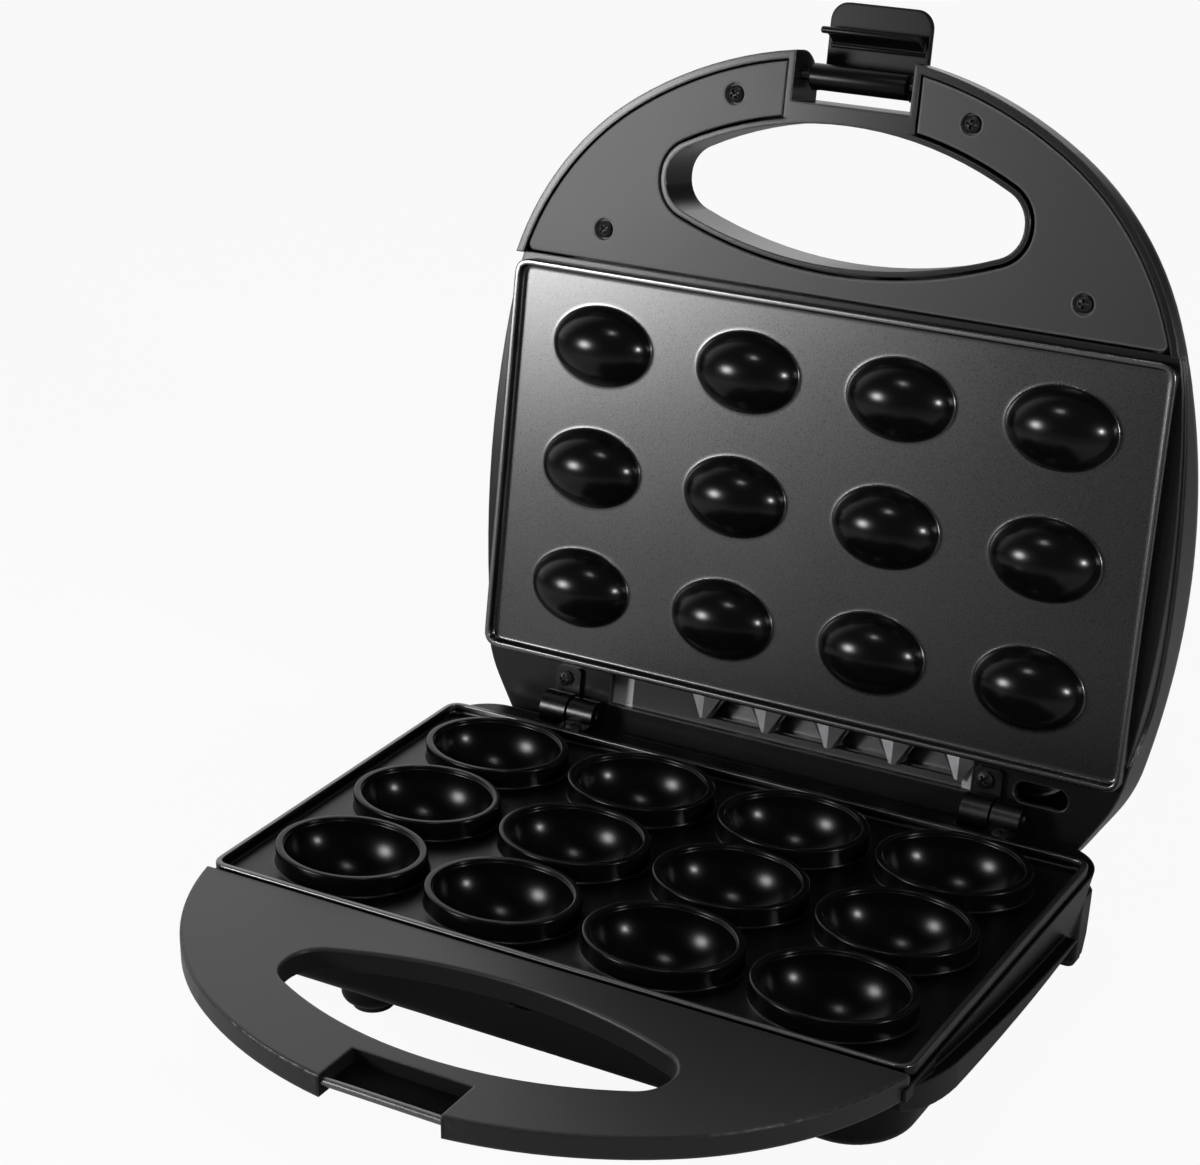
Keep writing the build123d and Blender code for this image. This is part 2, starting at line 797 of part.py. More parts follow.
def fairing():
    """Swept strips that carry the handle's skirt back along both flanks."""
    with BuildPart() as strips:
        with BuildSketch(Plane.YZ.offset(-half_width)):
            with BuildLine():
                Spline(*[(y, rim_z + z) for y, z in fairing_crease])
                Line((fairing_crease[-1][0], rim_z + fairing_crease[-1][1]),
                     (fairing_foot[0][0], rim_z + fairing_foot[0][1]))
                Spline(*[(y, rim_z + z) for y, z in fairing_foot])
                Line((fairing_foot[-1][0], rim_z + fairing_foot[-1][1]),
                     (fairing_crease[0][0], rim_z + fairing_crease[0][1]))
            make_face()
        extrude(amount=2 * half_width)
        extrude(at_height(fairing_plan(), rim_z - tub_depth), amount=tub_depth, mode=Mode.INTERSECT)
    return strips.part


def tray_form():
    """Floor of the handle that closes the handle cover from below."""
    inset = cover_wall + fit_gap
    with BuildPart() as tray:
        extrude(at_height(handle_plan(inset, tub_front_y + 1), rim_z - skirt_depth),
                amount=tray_sheet)
        extrude(at_height(hand_slot(inset), rim_z - skirt_depth), amount=tray_sheet,
                mode=Mode.SUBTRACT)
        add(block((-base_notch_half - inset, base_notch_half + inset),
                  (-front_reach, floor_front_y), (0, rim_z)), mode=Mode.SUBTRACT)
    return tray.part


def rear_leg(side):
    """Tapered leg at a rear corner, flush with the tub."""
    x = side * rear_foot[0]
    with BuildPart() as leg:
        with BuildSketch(Plane.XY.offset(rim_z - leg_top_drop)):
            with Locations((x, rear_foot[1])):
                RectangleRounded(rear_foot_top[0], rear_foot_top[1], 3)
        with BuildSketch(Plane.XY.offset(foot_pad_height)):
            with Locations((x, rear_foot[1])):
                RectangleRounded(rear_foot_tip[0], rear_foot_tip[1], 2.5)
        loft()
        extrude(tub_plan(flank_half, 0), amount=rim_z, mode=Mode.INTERSECT)
    return leg.part


def front_foot_form():
    """Round foot under the front of the tub."""
    with BuildPart() as foot:
        with BuildSketch(Plane.XY.offset(foot_pad_height)):
            Circle(front_foot_radius)
        extrude(amount=rim_z - tub_depth + wall - foot_pad_height)
        fillet(foot.faces().sort_by(Axis.Z)[0].edges(), foot_round)
    return foot.part


def gusset():
    """Triangular rib between the tub's front wall and the handle's floor."""
    with BuildPart() as rib:
        with BuildSketch(Plane.YZ.offset(-gusset_sheet / 2)):
            with BuildLine():
                Polyline((tub_front_y + 1, rim_z - skirt_depth),
                         (tub_front_y - gusset_reach, rim_z - skirt_depth),
                         (tub_front_y + 1, rim_z - gusset_depth), close=True)
            make_face()
        extrude(amount=gusset_sheet)
    return rib.part


def knuckle_block(y_range, z_range, reach):
    """Blocks along the rear edge at both hinges."""
    with BuildPart() as blocks:
        for side in (-1, 1):
            add(block((side * hinge_x - reach, side * hinge_x + reach), y_range, z_range))
    return blocks.part


tub = tub_form(0, shell_drop)
tub_hollow = tub_form(wall, shell_drop + flange)
side_strips = fairing()
tray = tray_form()
shelf = knuckle_block((pocket_front_y - wall, tub_rear_y - wall / 2),
                      (rim_z - knuckle_pocket - wall, rim_z - shell_drop - flange / 2), shelf_half)
pocket = knuckle_block((pocket_front_y, tub_rear_y + 1), (rim_z - knuckle_pocket, rim_z), pocket_half)
foot = front_foot_form()
rib = gusset()
corner_bar = block((-flank_half, flank_half), (tub_front_y, tub_front_y + tub_front_corner),
                   (rim_z - skirt_depth, rim_z - shell_drop))
floor_z = rim_z - tub_depth
with BuildPart() as base_housing:
    add(tub)
    add(corner_bar)
    add(side_strips)
    for side in (-1, 1):
        add(rear_leg(side))
    add(tub_hollow, mode=Mode.SUBTRACT)
    extrude(at_height(plate_outline(plate_seat_inset - fit_gap), rim_z - shell_drop - flange),
            amount=flange, mode=Mode.SUBTRACT)
    add(tray)
    add(shelf)
    add(pocket, mode=Mode.SUBTRACT)
    with Locations((front_foot[0], front_foot[1], 0), (-front_foot[0], front_foot[1], 0)):
        add(foot)
    with Locations((-gusset_pitch, 0, 0), (0, 0, 0), (gusset_pitch, 0, 0)):
        add(rib)
    with BuildSketch(Plane.XY.offset(floor_z + wall / 2)):
        with GridLocations(2 * clip_x, 2 * pitch_y, 2, 2):
            Circle(post_radius)
    extrude(amount=tub_depth - pan_depth - wall / 2)
    with BuildSketch(Plane.XY.offset(floor_z)):
        with GridLocations(2 * clip_x, 2 * pitch_y, 2, 2):
            Circle(head_recess_radius)
    extrude(amount=recess_depth, mode=Mode.SUBTRACT)
    with BuildSketch(Plane.XY.offset(floor_z)):
        with GridLocations(2 * clip_x, 2 * pitch_y, 2, 2):
            Circle(screw_radius + screw_clearance)
    extrude(amount=tub_depth, mode=Mode.SUBTRACT)
    with BuildSketch(Plane.XY.offset(rim_z - skirt_depth)):
        with Locations(*four(cover_screw_outer), *four(cover_screw_inner)):
            Circle(screw_radius + screw_clearance)
    extrude(amount=tray_sheet, mode=Mode.SUBTRACT)
    with BuildSketch(Plane.XY.offset(rim_z - shell_drop - flange / 2)):
        with Locations(*((side * hinge_x + bracket_screw_offset, bracket_screw_y - 0.6)
                         for side in (-1, 1))):
            Circle(base_boss_radius)
    extrude(amount=-base_boss_depth)
    with BuildSketch(Plane.XY.offset(rim_z - shell_drop)):
        with Locations(*((side * hinge_x + bracket_screw_offset, bracket_screw_y)
                         for side in (-1, 1))):
            Circle(screw_radius)
    extrude(amount=-bracket_screw_length, mode=Mode.SUBTRACT)
    with BuildSketch(Plane.XY.offset(foot_pad_height)):
        with Locations(*four(front_foot)):
            Circle(pad_radius + fit_gap)
    extrude(amount=pad_recess, mode=Mode.SUBTRACT)
    with BuildSketch(Plane.XZ.offset(-tub_rear_y)):
        with Locations((gland_x, rim_z - gland_drop)):
            Circle(gland_radius)
    extrude(amount=wall + 1, mode=Mode.SUBTRACT)
write_piece(base_housing.part, "base_housing")


# Cover of the base handle
cover_pocket_plan = handle_plan(cover_wall, tub_front_y)
with BuildPart() as base_handle_cover:
    extrude(at_height(handle_plan(0, cover_rear_y), rim_z - skirt_depth),
            amount=skirt_depth - base_face)
    top_edges = base_handle_cover.faces().sort_by(Axis.Z)[-1].edges()
    fillet(top_edges.filter_by_position(Axis.Y, -front_reach - 1, cover_rear_y - 0.5), cover_round)
    extrude(at_height(cover_pocket_plan, rim_z - skirt_depth),
            amount=skirt_depth - base_face - cover_wall, mode=Mode.SUBTRACT)
    add(block((-half_width, half_width), (tub_front_y - fit_gap, 0), (0, rim_z - shell_drop)),
        mode=Mode.SUBTRACT)
    extrude(at_height(hand_slot(cover_wall), rim_z - skirt_depth),
            amount=skirt_depth - base_face)
    add(block((-base_notch_half - cover_wall, base_notch_half + cover_wall),
              (-front_reach + 2, notch_rear_y + notch_wall),
              (rim_z - skirt_depth, rim_z - base_face - 1)))
    with BuildSketch(Plane.XY.offset(rim_z - skirt_depth + tray_sheet)):
        with Locations(*four(cover_screw_outer), *four(cover_screw_inner)):
            Circle(boss_radius)
    extrude(amount=skirt_depth - tray_sheet - base_face - 1)
    extrude(at_height(hand_slot(0), 0), amount=rim_z, mode=Mode.SUBTRACT)
    slot_edges = base_handle_cover.faces().sort_by(Axis.Z)[-1].inner_wires()[0].edges()
    fillet(slot_edges, cover_round)
    add(block((-base_notch_half, base_notch_half), (-front_reach - 1, notch_rear_y), (0, rim_z)),
        mode=Mode.SUBTRACT)
    add(block((-base_notch_half - cover_wall - 1, base_notch_half + cover_wall + 1),
              (floor_front_y - fit_gap, notch_rear_y + notch_wall + 1),
              (0, rim_z - skirt_depth + tray_sheet)), mode=Mode.SUBTRACT)
    with BuildSketch(Plane.XY.offset(rim_z - skirt_depth + tray_sheet)):
        with Locations(*four(cover_screw_outer), *four(cover_screw_inner)):
            Circle(screw_radius)
    extrude(amount=cover_screw_thread, mode=Mode.SUBTRACT)
    add(cylinder_x(catch_radius + press_clearance, (-catch_half, catch_half), catch_y,
                   rim_z - catch_drop), mode=Mode.SUBTRACT)
write_piece(base_handle_cover.part, "base_handle_cover")


# Bar across the notch that the latch hooks under
with BuildPart() as catch_bar:
    add(cylinder_x(catch_radius, (-catch_half, catch_half), catch_y, rim_z - catch_drop))
    chamfer(catch_bar.edges().filter_by(GeomType.CIRCLE), 0.2)
write_piece(catch_bar.part, "catch_bar")


# Screws of the base
with BuildPart() as base_handle_screws:
    for place in four(cover_screw_outer) + four(cover_screw_inner):
        add(screw(place, rim_z - skirt_depth - screw_head_height,
                  cover_screw_thread + tray_sheet - 0.5, False))
write_piece(base_handle_screws.part, "base_handle_screws")

with BuildPart() as base_plate_screws:
    with GridLocations(2 * clip_x, 2 * pitch_y, 2, 2):
        add(screw((0, 0), floor_z + recess_depth - screw_head_height,
                  tub_depth - pan_depth - recess_depth + thread_depth - 1, False))
write_piece(base_plate_screws.part, "base_plate_screws")


# Feet pads
with BuildPart() as foot_pads:
    with BuildSketch():
        with Locations(*four(front_foot)):
            Circle(pad_radius)
    extrude(amount=foot_pad_height + pad_recess)
    with BuildSketch():
        with Locations(*four(rear_foot)):
            RectangleRounded(rear_foot_tip[0] - 1, rear_foot_tip[1] - 1, 2)
    extrude(amount=foot_pad_height)
    fillet(foot_pads.faces().filter_by_position(Axis.Z, -0.01, 0.01).edges(), 0.5)
write_piece(foot_pads.part, "foot_pads")


# Terminal block and cord gland
with BuildPart() as terminal_block:
    with BuildSketch(Plane.XY.offset(floor_z + wall + seat_gap)):
        with Locations((terminal_x, terminal_y)):
            RectangleRounded(terminal_size[0], terminal_size[1], 1)
    extrude(amount=terminal_size[2])
    with BuildSketch(Plane.XY.offset(floor_z + wall + seat_gap + terminal_size[2])):
        with Locations((terminal_x, terminal_y)):
            with GridLocations(terminal_size[0] / 3, 1, 3, 1):
                Circle(1.6)
    extrude(amount=-3, mode=Mode.SUBTRACT)
    with BuildSketch(Plane.XZ.offset(-terminal_y - terminal_size[1] / 2)):
        with Locations((terminal_x, floor_z + wall + seat_gap + 3)):
            with GridLocations(terminal_size[0] / 3, 1, 3, 1):
                Circle(1.3)
    extrude(amount=terminal_size[1], mode=Mode.SUBTRACT)
write_piece(terminal_block.part, "terminal_block")

with BuildPart() as cord_gland:
    with BuildSketch(Plane.XZ.offset(-tub_rear_y - gland_flange)):
        with Locations((gland_x, rim_z - gland_drop)):
            Circle(gland_radius + 1.6)
    extrude(amount=gland_flange)
    fillet(cord_gland.faces().sort_by(Axis.Y)[-1].edges(), 1)
    with BuildSketch(Plane.XZ.offset(-tub_rear_y)):
        with Locations((gland_x, rim_z - gland_drop)):
            Circle(gland_radius - press_clearance)
    extrude(amount=wall)
    with BuildSketch(Plane.XZ.offset(-tub_rear_y + wall)):
        with Locations((gland_x, rim_z - gland_drop)):
            Circle(gland_radius + 0.8)
    extrude(amount=1.5)
    with BuildSketch(Plane.XZ.offset(-tub_rear_y - gland_flange)):
        with Locations((gland_x, rim_z - gland_drop)):
            Circle(cord_hole_radius)
    extrude(amount=12, mode=Mode.SUBTRACT)
write_piece(cord_gland.part, "cord_gland")


# Hinges: the lid's knuckle sits left of the base's on both sides
def hinge_bracket(side, on_lid):
    """Sheet tab under one screw, rolled into a knuckle at the hinge line."""
    radius = lid_knuckle_radius if on_lid else base_knuckle_radius
    turn = -1 if on_lid else 1
    inner = side * hinge_x + turn * knuckle_gap / 2
    outer = inner + turn * knuckle_length
    x_range = (min(inner, outer), max(inner, outer))
    low = rim_z + shell_drop - bracket_sheet if on_lid else rim_z - shell_drop
    bore = running_clearance if on_lid else press_clearance
    screw_x = side * hinge_x + turn * bracket_screw_offset
    with BuildPart() as bracket:
        add(block(x_range, (bracket_front_y, hinge_y), (low, low + bracket_sheet)))
        fillet(bracket.edges().filter_by(Axis.Z).group_by(Axis.Y)[0], 1.5)
        add(cylinder_x(radius, x_range, hinge_y, hinge_z))
        add(cylinder_x(hinge_pin_radius + bore, x_range, hinge_y, hinge_z), mode=Mode.SUBTRACT)
        add(post((screw_x, bracket_screw_y), screw_radius + screw_clearance, (low, low + bracket_sheet)),
            mode=Mode.SUBTRACT)
    return bracket.part


for side_name, side in (("left", -1), ("right", 1)):
    write_piece(hinge_bracket(side, False), f"base_hinge_bracket_{side_name}")
    write_piece(opened(hinge_bracket(side, True)), f"lid_hinge_bracket_{side_name}")

with BuildPart() as hinge_pins:
    for side in (-1, 1):
        reach = knuckle_length + knuckle_gap / 2
        add(cylinder_x(hinge_pin_radius, (side * hinge_x - reach, side * hinge_x + reach + 0.6),
                       hinge_y, hinge_z))
        add(cylinder_x(hinge_pin_radius + 1, (side * hinge_x + reach + 0.1, side * hinge_x + reach + 1.1),
                       hinge_y, hinge_z))
write_piece(hinge_pins.part, "hinge_pins")

with BuildPart() as base_hinge_screws:
    for side in (-1, 1):
        add(screw((side * hinge_x + bracket_screw_offset, bracket_screw_y),
                  rim_z - shell_drop + bracket_sheet + screw_head_height,
                  bracket_screw_length - 0.5 + bracket_sheet, True))
write_piece(base_hinge_screws.part, "base_hinge_screws")

with BuildPart() as lid_hinge_screws:
    for side in (-1, 1):
        add(screw((side * hinge_x - bracket_screw_offset, bracket_screw_y),
                  rim_z + shell_drop - bracket_sheet - screw_head_height,
                  bracket_sheet + flange + lug_sheet, False))
write_piece(opened(lid_hinge_screws.part), "lid_hinge_screws")


# Lid shell
def flank_cut():
    """What leaves the shallow recess along both flanks, under the crease of the back."""
    with BuildPart() as cut:
        with BuildSketch(Plane.YZ.offset(-lid_half - 1)):
            with BuildLine():
                Spline(*[(y, rim_z + z) for y, z in lid_crease])
                Polyline((lid_crease[-1][0], rim_z + lid_crease[-1][1]),
                         (lid_crease[-1][0], rim_z), (lid_crease[0][0], rim_z),
                         (lid_crease[0][0], rim_z + lid_crease[0][1]))
            make_face()
        extrude(amount=2 * lid_half + 2)
        extrude(at_height(lid_plan(flank_recess), rim_z), amount=lid_depth, mode=Mode.SUBTRACT)
    return cut.part


shell = lid_form(0)
hollow = lid_form(wall)
flank_recesses = flank_cut()
handle_hollow = block((-half_width, half_width), (-front_reach, handle_back_y), (0, rim_z + lid_depth))
body_hollow = block((-lid_half, lid_half), (handle_back_y + wall, lid_rear_y),
                    (rim_z + shell_drop + flange, rim_z + lid_depth))
with BuildPart() as handle_core:
    add(hollow)
    add(handle_hollow, mode=Mode.INTERSECT)
    extrude(at_height(hand_slot(slot_lip), rim_z), amount=lid_depth, mode=Mode.SUBTRACT)
    add(block((-notch_half - notch_wall, notch_half + notch_wall),
              (-front_reach, notch_rear_y + notch_wall), (rim_z, rim_z + lid_depth)),
        mode=Mode.SUBTRACT)
    add(block((-notch_half - notch_wall, notch_half + notch_wall),
              (-front_reach, slot_front_y), (rim_z, rim_z + panel_face + cover_wall)),
        mode=Mode.SUBTRACT)
with BuildPart() as body_core:
    add(hollow)
    add(body_hollow, mode=Mode.INTERSECT)
with BuildPart() as lid_shell:
    add(shell)
    add(block((-lid_half, lid_half), (handle_back_y, lid_rear_y), (0, rim_z + shell_drop)),
        mode=Mode.SUBTRACT)
    add(block((-half_width, half_width), (-front_reach - 1, handle_back_y), (0, rim_z + lid_rim)),
        mode=Mode.SUBTRACT)
    add(flank_recesses, mode=Mode.SUBTRACT)
    add(handle_core.part, mode=Mode.SUBTRACT)
    add(body_core.part, mode=Mode.SUBTRACT)
    extrude(at_height(plate_outline(plate_seat_inset - fit_gap), rim_z + shell_drop),
            amount=flange, mode=Mode.SUBTRACT)
    extrude(at_height(hand_slot(0), rim_z), amount=lid_depth, mode=Mode.SUBTRACT)
    add(block((-notch_half, notch_half), (-front_reach - 1, notch_rear_y), (rim_z, rim_z + lid_depth)),
        mode=Mode.SUBTRACT)
    with BuildSketch(Plane.XY.offset(rim_z + panel_face + cover_wall)):
        with Locations(*four(panel_screw_outer), *four(panel_screw_inner)):
            Circle(boss_radius)
    extrude(amount=lid_handle_depth - panel_face - cover_wall - wall / 2)
    with BuildSketch(Plane.XY.offset(rim_z + shell_drop + flange + lug_sheet)):
        with Locations(*((side * tab_x, tab_screw_y) for side in (-1, 1))):
            Circle(boss_radius)
    extrude(amount=lid_handle_depth - shell_drop - flange - lug_sheet - wall / 2)
    with BuildSketch(Plane.XY.offset(rim_z + shell_drop + flange - fit_gap)):
        with Locations(*((side * tab_x, tab_y) for side in (-1, 1))):
            Rectangle(tab_width + 2 * fit_gap, tab_length + 2 * fit_gap)
    extrude(amount=lug_sheet + 2 * fit_gap, mode=Mode.SUBTRACT)
    with BuildSketch(Plane.XY.offset(rim_z + panel_face)):
        with Locations(*four(panel_screw_outer), *four(panel_screw_inner)):
            Circle(screw_radius)
        with Locations(*((side * tab_x, tab_screw_y) for side in (-1, 1))):
            Circle(screw_radius)
    extrude(amount=panel_screw_length, mode=Mode.SUBTRACT)
    add(block((vent_left, vent_right), (plate_width / 2 + 0.6, vent_rear_y), (rim_z, rim_z + 8)),
        mode=Mode.SUBTRACT)
    with BuildSketch(Plane.XY.offset(rim_z + shell_drop)):
        with Locations(((corner_vent_left + corner_vent_right) / 2, corner_vent_y)):
            SlotOverall(corner_vent_right - corner_vent_left, corner_vent_width)
        with Locations(*((side * hinge_x - bracket_screw_offset, bracket_screw_y)
                         for side in (-1, 1))):
            Circle(screw_radius + screw_clearance)
    extrude(amount=flange, mode=Mode.SUBTRACT)
    with BuildSketch(Plane.XY.offset(rim_z + shell_drop)):
        with Locations(*four(lens_place)):
            Circle(lens_radius + press_clearance)
    extrude(amount=lid_depth, mode=Mode.SUBTRACT)
    add(cylinder_x(boss_radius, (-notch_half - notch_wall - 2, -notch_half), latch_pivot_y,
                   rim_z + latch_pivot_z))
    add(cylinder_x(boss_radius, (notch_half, notch_half + notch_wall + 2), latch_pivot_y,
                   rim_z + latch_pivot_z))
    add(cylinder_x(latch_pin_radius + press_clearance, (-latch_pin_half, latch_pin_half),
                   latch_pivot_y, rim_z + latch_pivot_z), mode=Mode.SUBTRACT)
write_piece(opened(lid_shell.part), "lid_shell")


# Cover inside the lid handle
with BuildPart() as lid_handle_cover:
    extrude(at_height(handle_plan(panel_inset, panel_rear_y), rim_z + panel_face), amount=cover_wall)
    fillet(lid_handle_cover.edges().filter_by(Axis.Z), panel_corner)
    extrude(at_height(hand_slot(panel_slot_gap), rim_z + panel_face), amount=cover_wall,
            mode=Mode.SUBTRACT)
    add(block((-panel_notch_half, panel_notch_half), (-front_reach, slot_front_y),
              (rim_z, rim_z + 10)), mode=Mode.SUBTRACT)
    face_edges = lid_handle_cover.faces().sort_by(Axis.Z)[0].edges()
    chamfer(face_edges, panel_chamfer)
    with BuildSketch(Plane.XY.offset(rim_z + panel_face)):
        with Locations(*four(panel_screw_outer), *four(panel_screw_inner)):
            Circle(head_recess_radius)
    extrude(amount=panel_recess, mode=Mode.SUBTRACT)
    with BuildSketch(Plane.XY.offset(rim_z + panel_face)):
        with Locations(*four(panel_screw_outer), *four(panel_screw_inner)):
            Circle(screw_radius + screw_clearance)
    extrude(amount=cover_wall, mode=Mode.SUBTRACT)
write_piece(opened(lid_handle_cover.part), "lid_handle_cover")

with BuildPart() as lid_handle_screws:
    for place in four(panel_screw_outer) + four(panel_screw_inner):
        add(screw(place, rim_z + panel_face + panel_recess - screw_head_height,
                  panel_screw_length - panel_recess - 0.5, False))
write_piece(opened(lid_handle_screws.part), "lid_handle_screws")

with BuildPart() as lid_plate_screws:
    for side in (-1, 1):
        add(screw((side * tab_x, tab_screw_y), rim_z + shell_drop + flange - screw_head_height,
                  panel_screw_length - shell_drop - flange, False))
write_piece(opened(lid_plate_screws.part), "lid_plate_screws")


# Indicator lenses on the back of the handle and the lamps behind them
def lens(side):
    """Domed lens with a stem pressed through the handle's back."""
    x = side * lens_place[0]
    z = rim_z + lid_handle_depth + lens_seat
    with BuildPart() as piece:
        with BuildSketch(Plane.XY.offset(z)):
            with Locations((x, lens_place[1])):
                Circle(lens_flange_radius)
        extrude(amount=lens_dome)
        fillet(piece.faces().sort_by(Axis.Z)[-1].edges(), lens_dome - 0.2)
        with BuildSketch(Plane.XY.offset(z)):
            with Locations((x, lens_place[1])):
                Circle(lens_radius)
        extrude(amount=-lens_stem)
    return piece.part


write_piece(opened(lens(-1)), "power_lens")
write_piece(opened(lens(1)), "ready_lens")

with BuildPart() as lamp_holder:
    top = rim_z + lid_handle_depth - lens_stem
    with BuildSketch(Plane.XY.offset(top)):
        with Locations((0, lens_place[1])):
            RectangleRounded(2 * lens_place[0] + 8, lamp_holder_width, 1.5)
    extrude(amount=-lamp_holder_depth)
    with BuildSketch(Plane.XY.offset(top)):
        with Locations(*four(lens_place)):
            Circle(lens_radius - 0.5)
    extrude(amount=-lamp_holder_depth + 1, mode=Mode.SUBTRACT)
    fillet(lamp_holder.faces().sort_by(Axis.Z)[0].edges(), 0.6)
write_piece(opened(lamp_holder.part), "lamp_holder")


# Strip of folded gussets in the lid's rear vent
def vent_gusset():
    """One ridge that narrows to the rear, standing up from the strip."""
    half = gusset_top_width / 2
    with BuildPart() as ridge:
        with BuildSketch(Plane.XZ.offset(-strip_rear_y)):
            with BuildLine():
                Polyline((-half, strip_z), (half, strip_z), (0, strip_z - gusset_rise), close=True)
            make_face()
        extrude(amount=strip_rear_y - strip_front_y)
        with BuildSketch(Plane.XY.offset(strip_z - gusset_rise)):
            with BuildLine():
                Polyline((-half, strip_front_y), (half, strip_front_y),
                         (gusset_tip / 2, strip_window_rear), (-gusset_tip / 2, strip_window_rear),
                         close=True)
            make_face()
        extrude(amount=gusset_rise, mode=Mode.INTERSECT)
    return ridge.part


ridge = vent_gusset()
with BuildPart() as lid_vent_strip:
    add(block((vent_left - 2, vent_right + 2), (strip_front_y, strip_rear_y),
              (strip_z, strip_z + strip_sheet)))
    add(block((vent_left - 2, vent_right + 2), (strip_rear_y - strip_sheet, strip_rear_y),
              (rim_z + shell_drop + flange, strip_z)))
    with BuildSketch(Plane.XY.offset(strip_z)):
        for index in range(gusset_count - 1):
            left = first_gusset_x + index * gusset_spacing
            right = left + gusset_spacing
            with BuildLine():
                Polyline((left + gusset_top_width / 2, strip_window_front),
                         (right - gusset_top_width / 2, strip_window_front),
                         (right - gusset_tip / 2 - 1, strip_window_rear),
                         (left + gusset_tip / 2 + 1, strip_window_rear), close=True)
            make_face()
    extrude(amount=strip_sheet, mode=Mode.SUBTRACT)
    for index in range(gusset_count):
        with Locations((first_gusset_x + index * gusset_spacing, 0, 0)):
            add(ridge)
write_piece(opened(lid_vent_strip.part), "lid_vent_strip")


# Latch on the lid handle, drawn shut and then turned out
def latch_profile():
    """Side view of the latch: hub, top web and the plate that hangs from it."""
    y = latch_pivot_y
    z = rim_z + latch_pivot_z
    outer = -latch_offset - latch_sheet
    with BuildSketch(Plane.YZ.offset(-latch_half)) as profile:
        with Locations((y, z)):
            Circle(latch_barrel_radius)
        with BuildLine():
            Polyline((y, z + latch_web[0]), (y, z + latch_web[1]), (y + outer, z + latch_web[1]),
                     (y + outer, z - latch_length), (y - latch_offset, z - latch_length),
                     (y - latch_offset, z + latch_web[0]), close=True)
        make_face()
        fillet(profile.vertices().sort_by_distance((y + outer, z + latch_web[1], 0))[0], latch_bend)
    return profile.sketch


latch_section = latch_profile()
pivot = (latch_pivot_y, rim_z + latch_pivot_z)
catch_reach = math.hypot(catch_y - pivot[0], -catch_drop - latch_pivot_z) + catch_radius + hook_clearance
with BuildPart() as latch:
    extrude(latch_section, amount=2 * latch_half, dir=(1, 0, 0))
    tips = latch.edges().filter_by(Axis.Y).group_by(Axis.Z)[0]
    fillet(tips, latch_tip_corner)
    with BuildSketch(Plane.YZ.offset(-latch_half + hook_side_gap)) as hook:
        with Locations(pivot):
            Circle(catch_reach + hook_height)
            Circle(catch_reach, mode=Mode.SUBTRACT)
        with Locations((pivot[0] - latch_offset - 0.5 + hook_reach / 2, pivot[1] - 15)):
            Rectangle(hook_reach + 1, 14, mode=Mode.INTERSECT)
    extrude(amount=2 * (latch_half - hook_side_gap))
    with BuildSketch(Plane.YZ.offset(-latch_half + hook_side_gap)):
        with Locations((pivot[0] - latch_offset + 0.5, pivot[1] - latch_rib_drop)):
            Rectangle(2.2, 1.2)
    extrude(amount=2 * (latch_half - hook_side_gap))
    add(cylinder_x(latch_pin_radius + running_clearance, (-latch_half, latch_half), *pivot),
        mode=Mode.SUBTRACT)
write_piece(opened(latch.part.rotate(latch_axis, -latch_angle)), "latch")

with BuildPart() as latch_pin:
    add(cylinder_x(latch_pin_radius, (-latch_pin_half + 0.3, latch_pin_half - 0.3), *pivot))
    chamfer(latch_pin.edges().filter_by(GeomType.CIRCLE), 0.3)
write_piece(opened(latch_pin.part), "latch_pin")
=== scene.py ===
"""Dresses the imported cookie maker: cooking plates, latch, screws, finishes, studio, camera.

Shapes are drawn in millimetres on the shut lid; the last step of each mesh turns it to the
open lid and scales it to metres. Finishes, lamps and the camera are in metres.
"""
from __future__ import annotations

import json
import logging
import math
from dataclasses import dataclass
from enum import Enum
from typing import Callable, Iterable, Optional, Union

import bmesh
import bpy
from mathutils import Matrix, Vector

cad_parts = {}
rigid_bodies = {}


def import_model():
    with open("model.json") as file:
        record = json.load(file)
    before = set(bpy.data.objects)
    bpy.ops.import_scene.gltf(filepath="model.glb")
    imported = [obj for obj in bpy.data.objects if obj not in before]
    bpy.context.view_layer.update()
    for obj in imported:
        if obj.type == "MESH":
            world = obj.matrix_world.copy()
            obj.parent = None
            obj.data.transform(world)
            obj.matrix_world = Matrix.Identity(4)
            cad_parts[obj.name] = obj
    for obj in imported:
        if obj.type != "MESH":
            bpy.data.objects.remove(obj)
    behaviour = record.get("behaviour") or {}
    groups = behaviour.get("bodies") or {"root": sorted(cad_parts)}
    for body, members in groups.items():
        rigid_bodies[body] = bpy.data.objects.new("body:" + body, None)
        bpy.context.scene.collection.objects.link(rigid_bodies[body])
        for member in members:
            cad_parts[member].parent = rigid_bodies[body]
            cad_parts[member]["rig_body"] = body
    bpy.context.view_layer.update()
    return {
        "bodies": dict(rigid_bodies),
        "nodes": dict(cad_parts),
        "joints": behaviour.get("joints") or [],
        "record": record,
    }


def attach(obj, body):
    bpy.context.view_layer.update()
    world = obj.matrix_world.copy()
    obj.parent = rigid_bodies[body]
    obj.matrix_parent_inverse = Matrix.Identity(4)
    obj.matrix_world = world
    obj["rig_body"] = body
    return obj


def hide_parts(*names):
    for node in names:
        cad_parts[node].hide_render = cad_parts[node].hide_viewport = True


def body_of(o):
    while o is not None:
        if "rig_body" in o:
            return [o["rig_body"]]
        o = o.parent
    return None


log = logging.getLogger("cookie_maker")

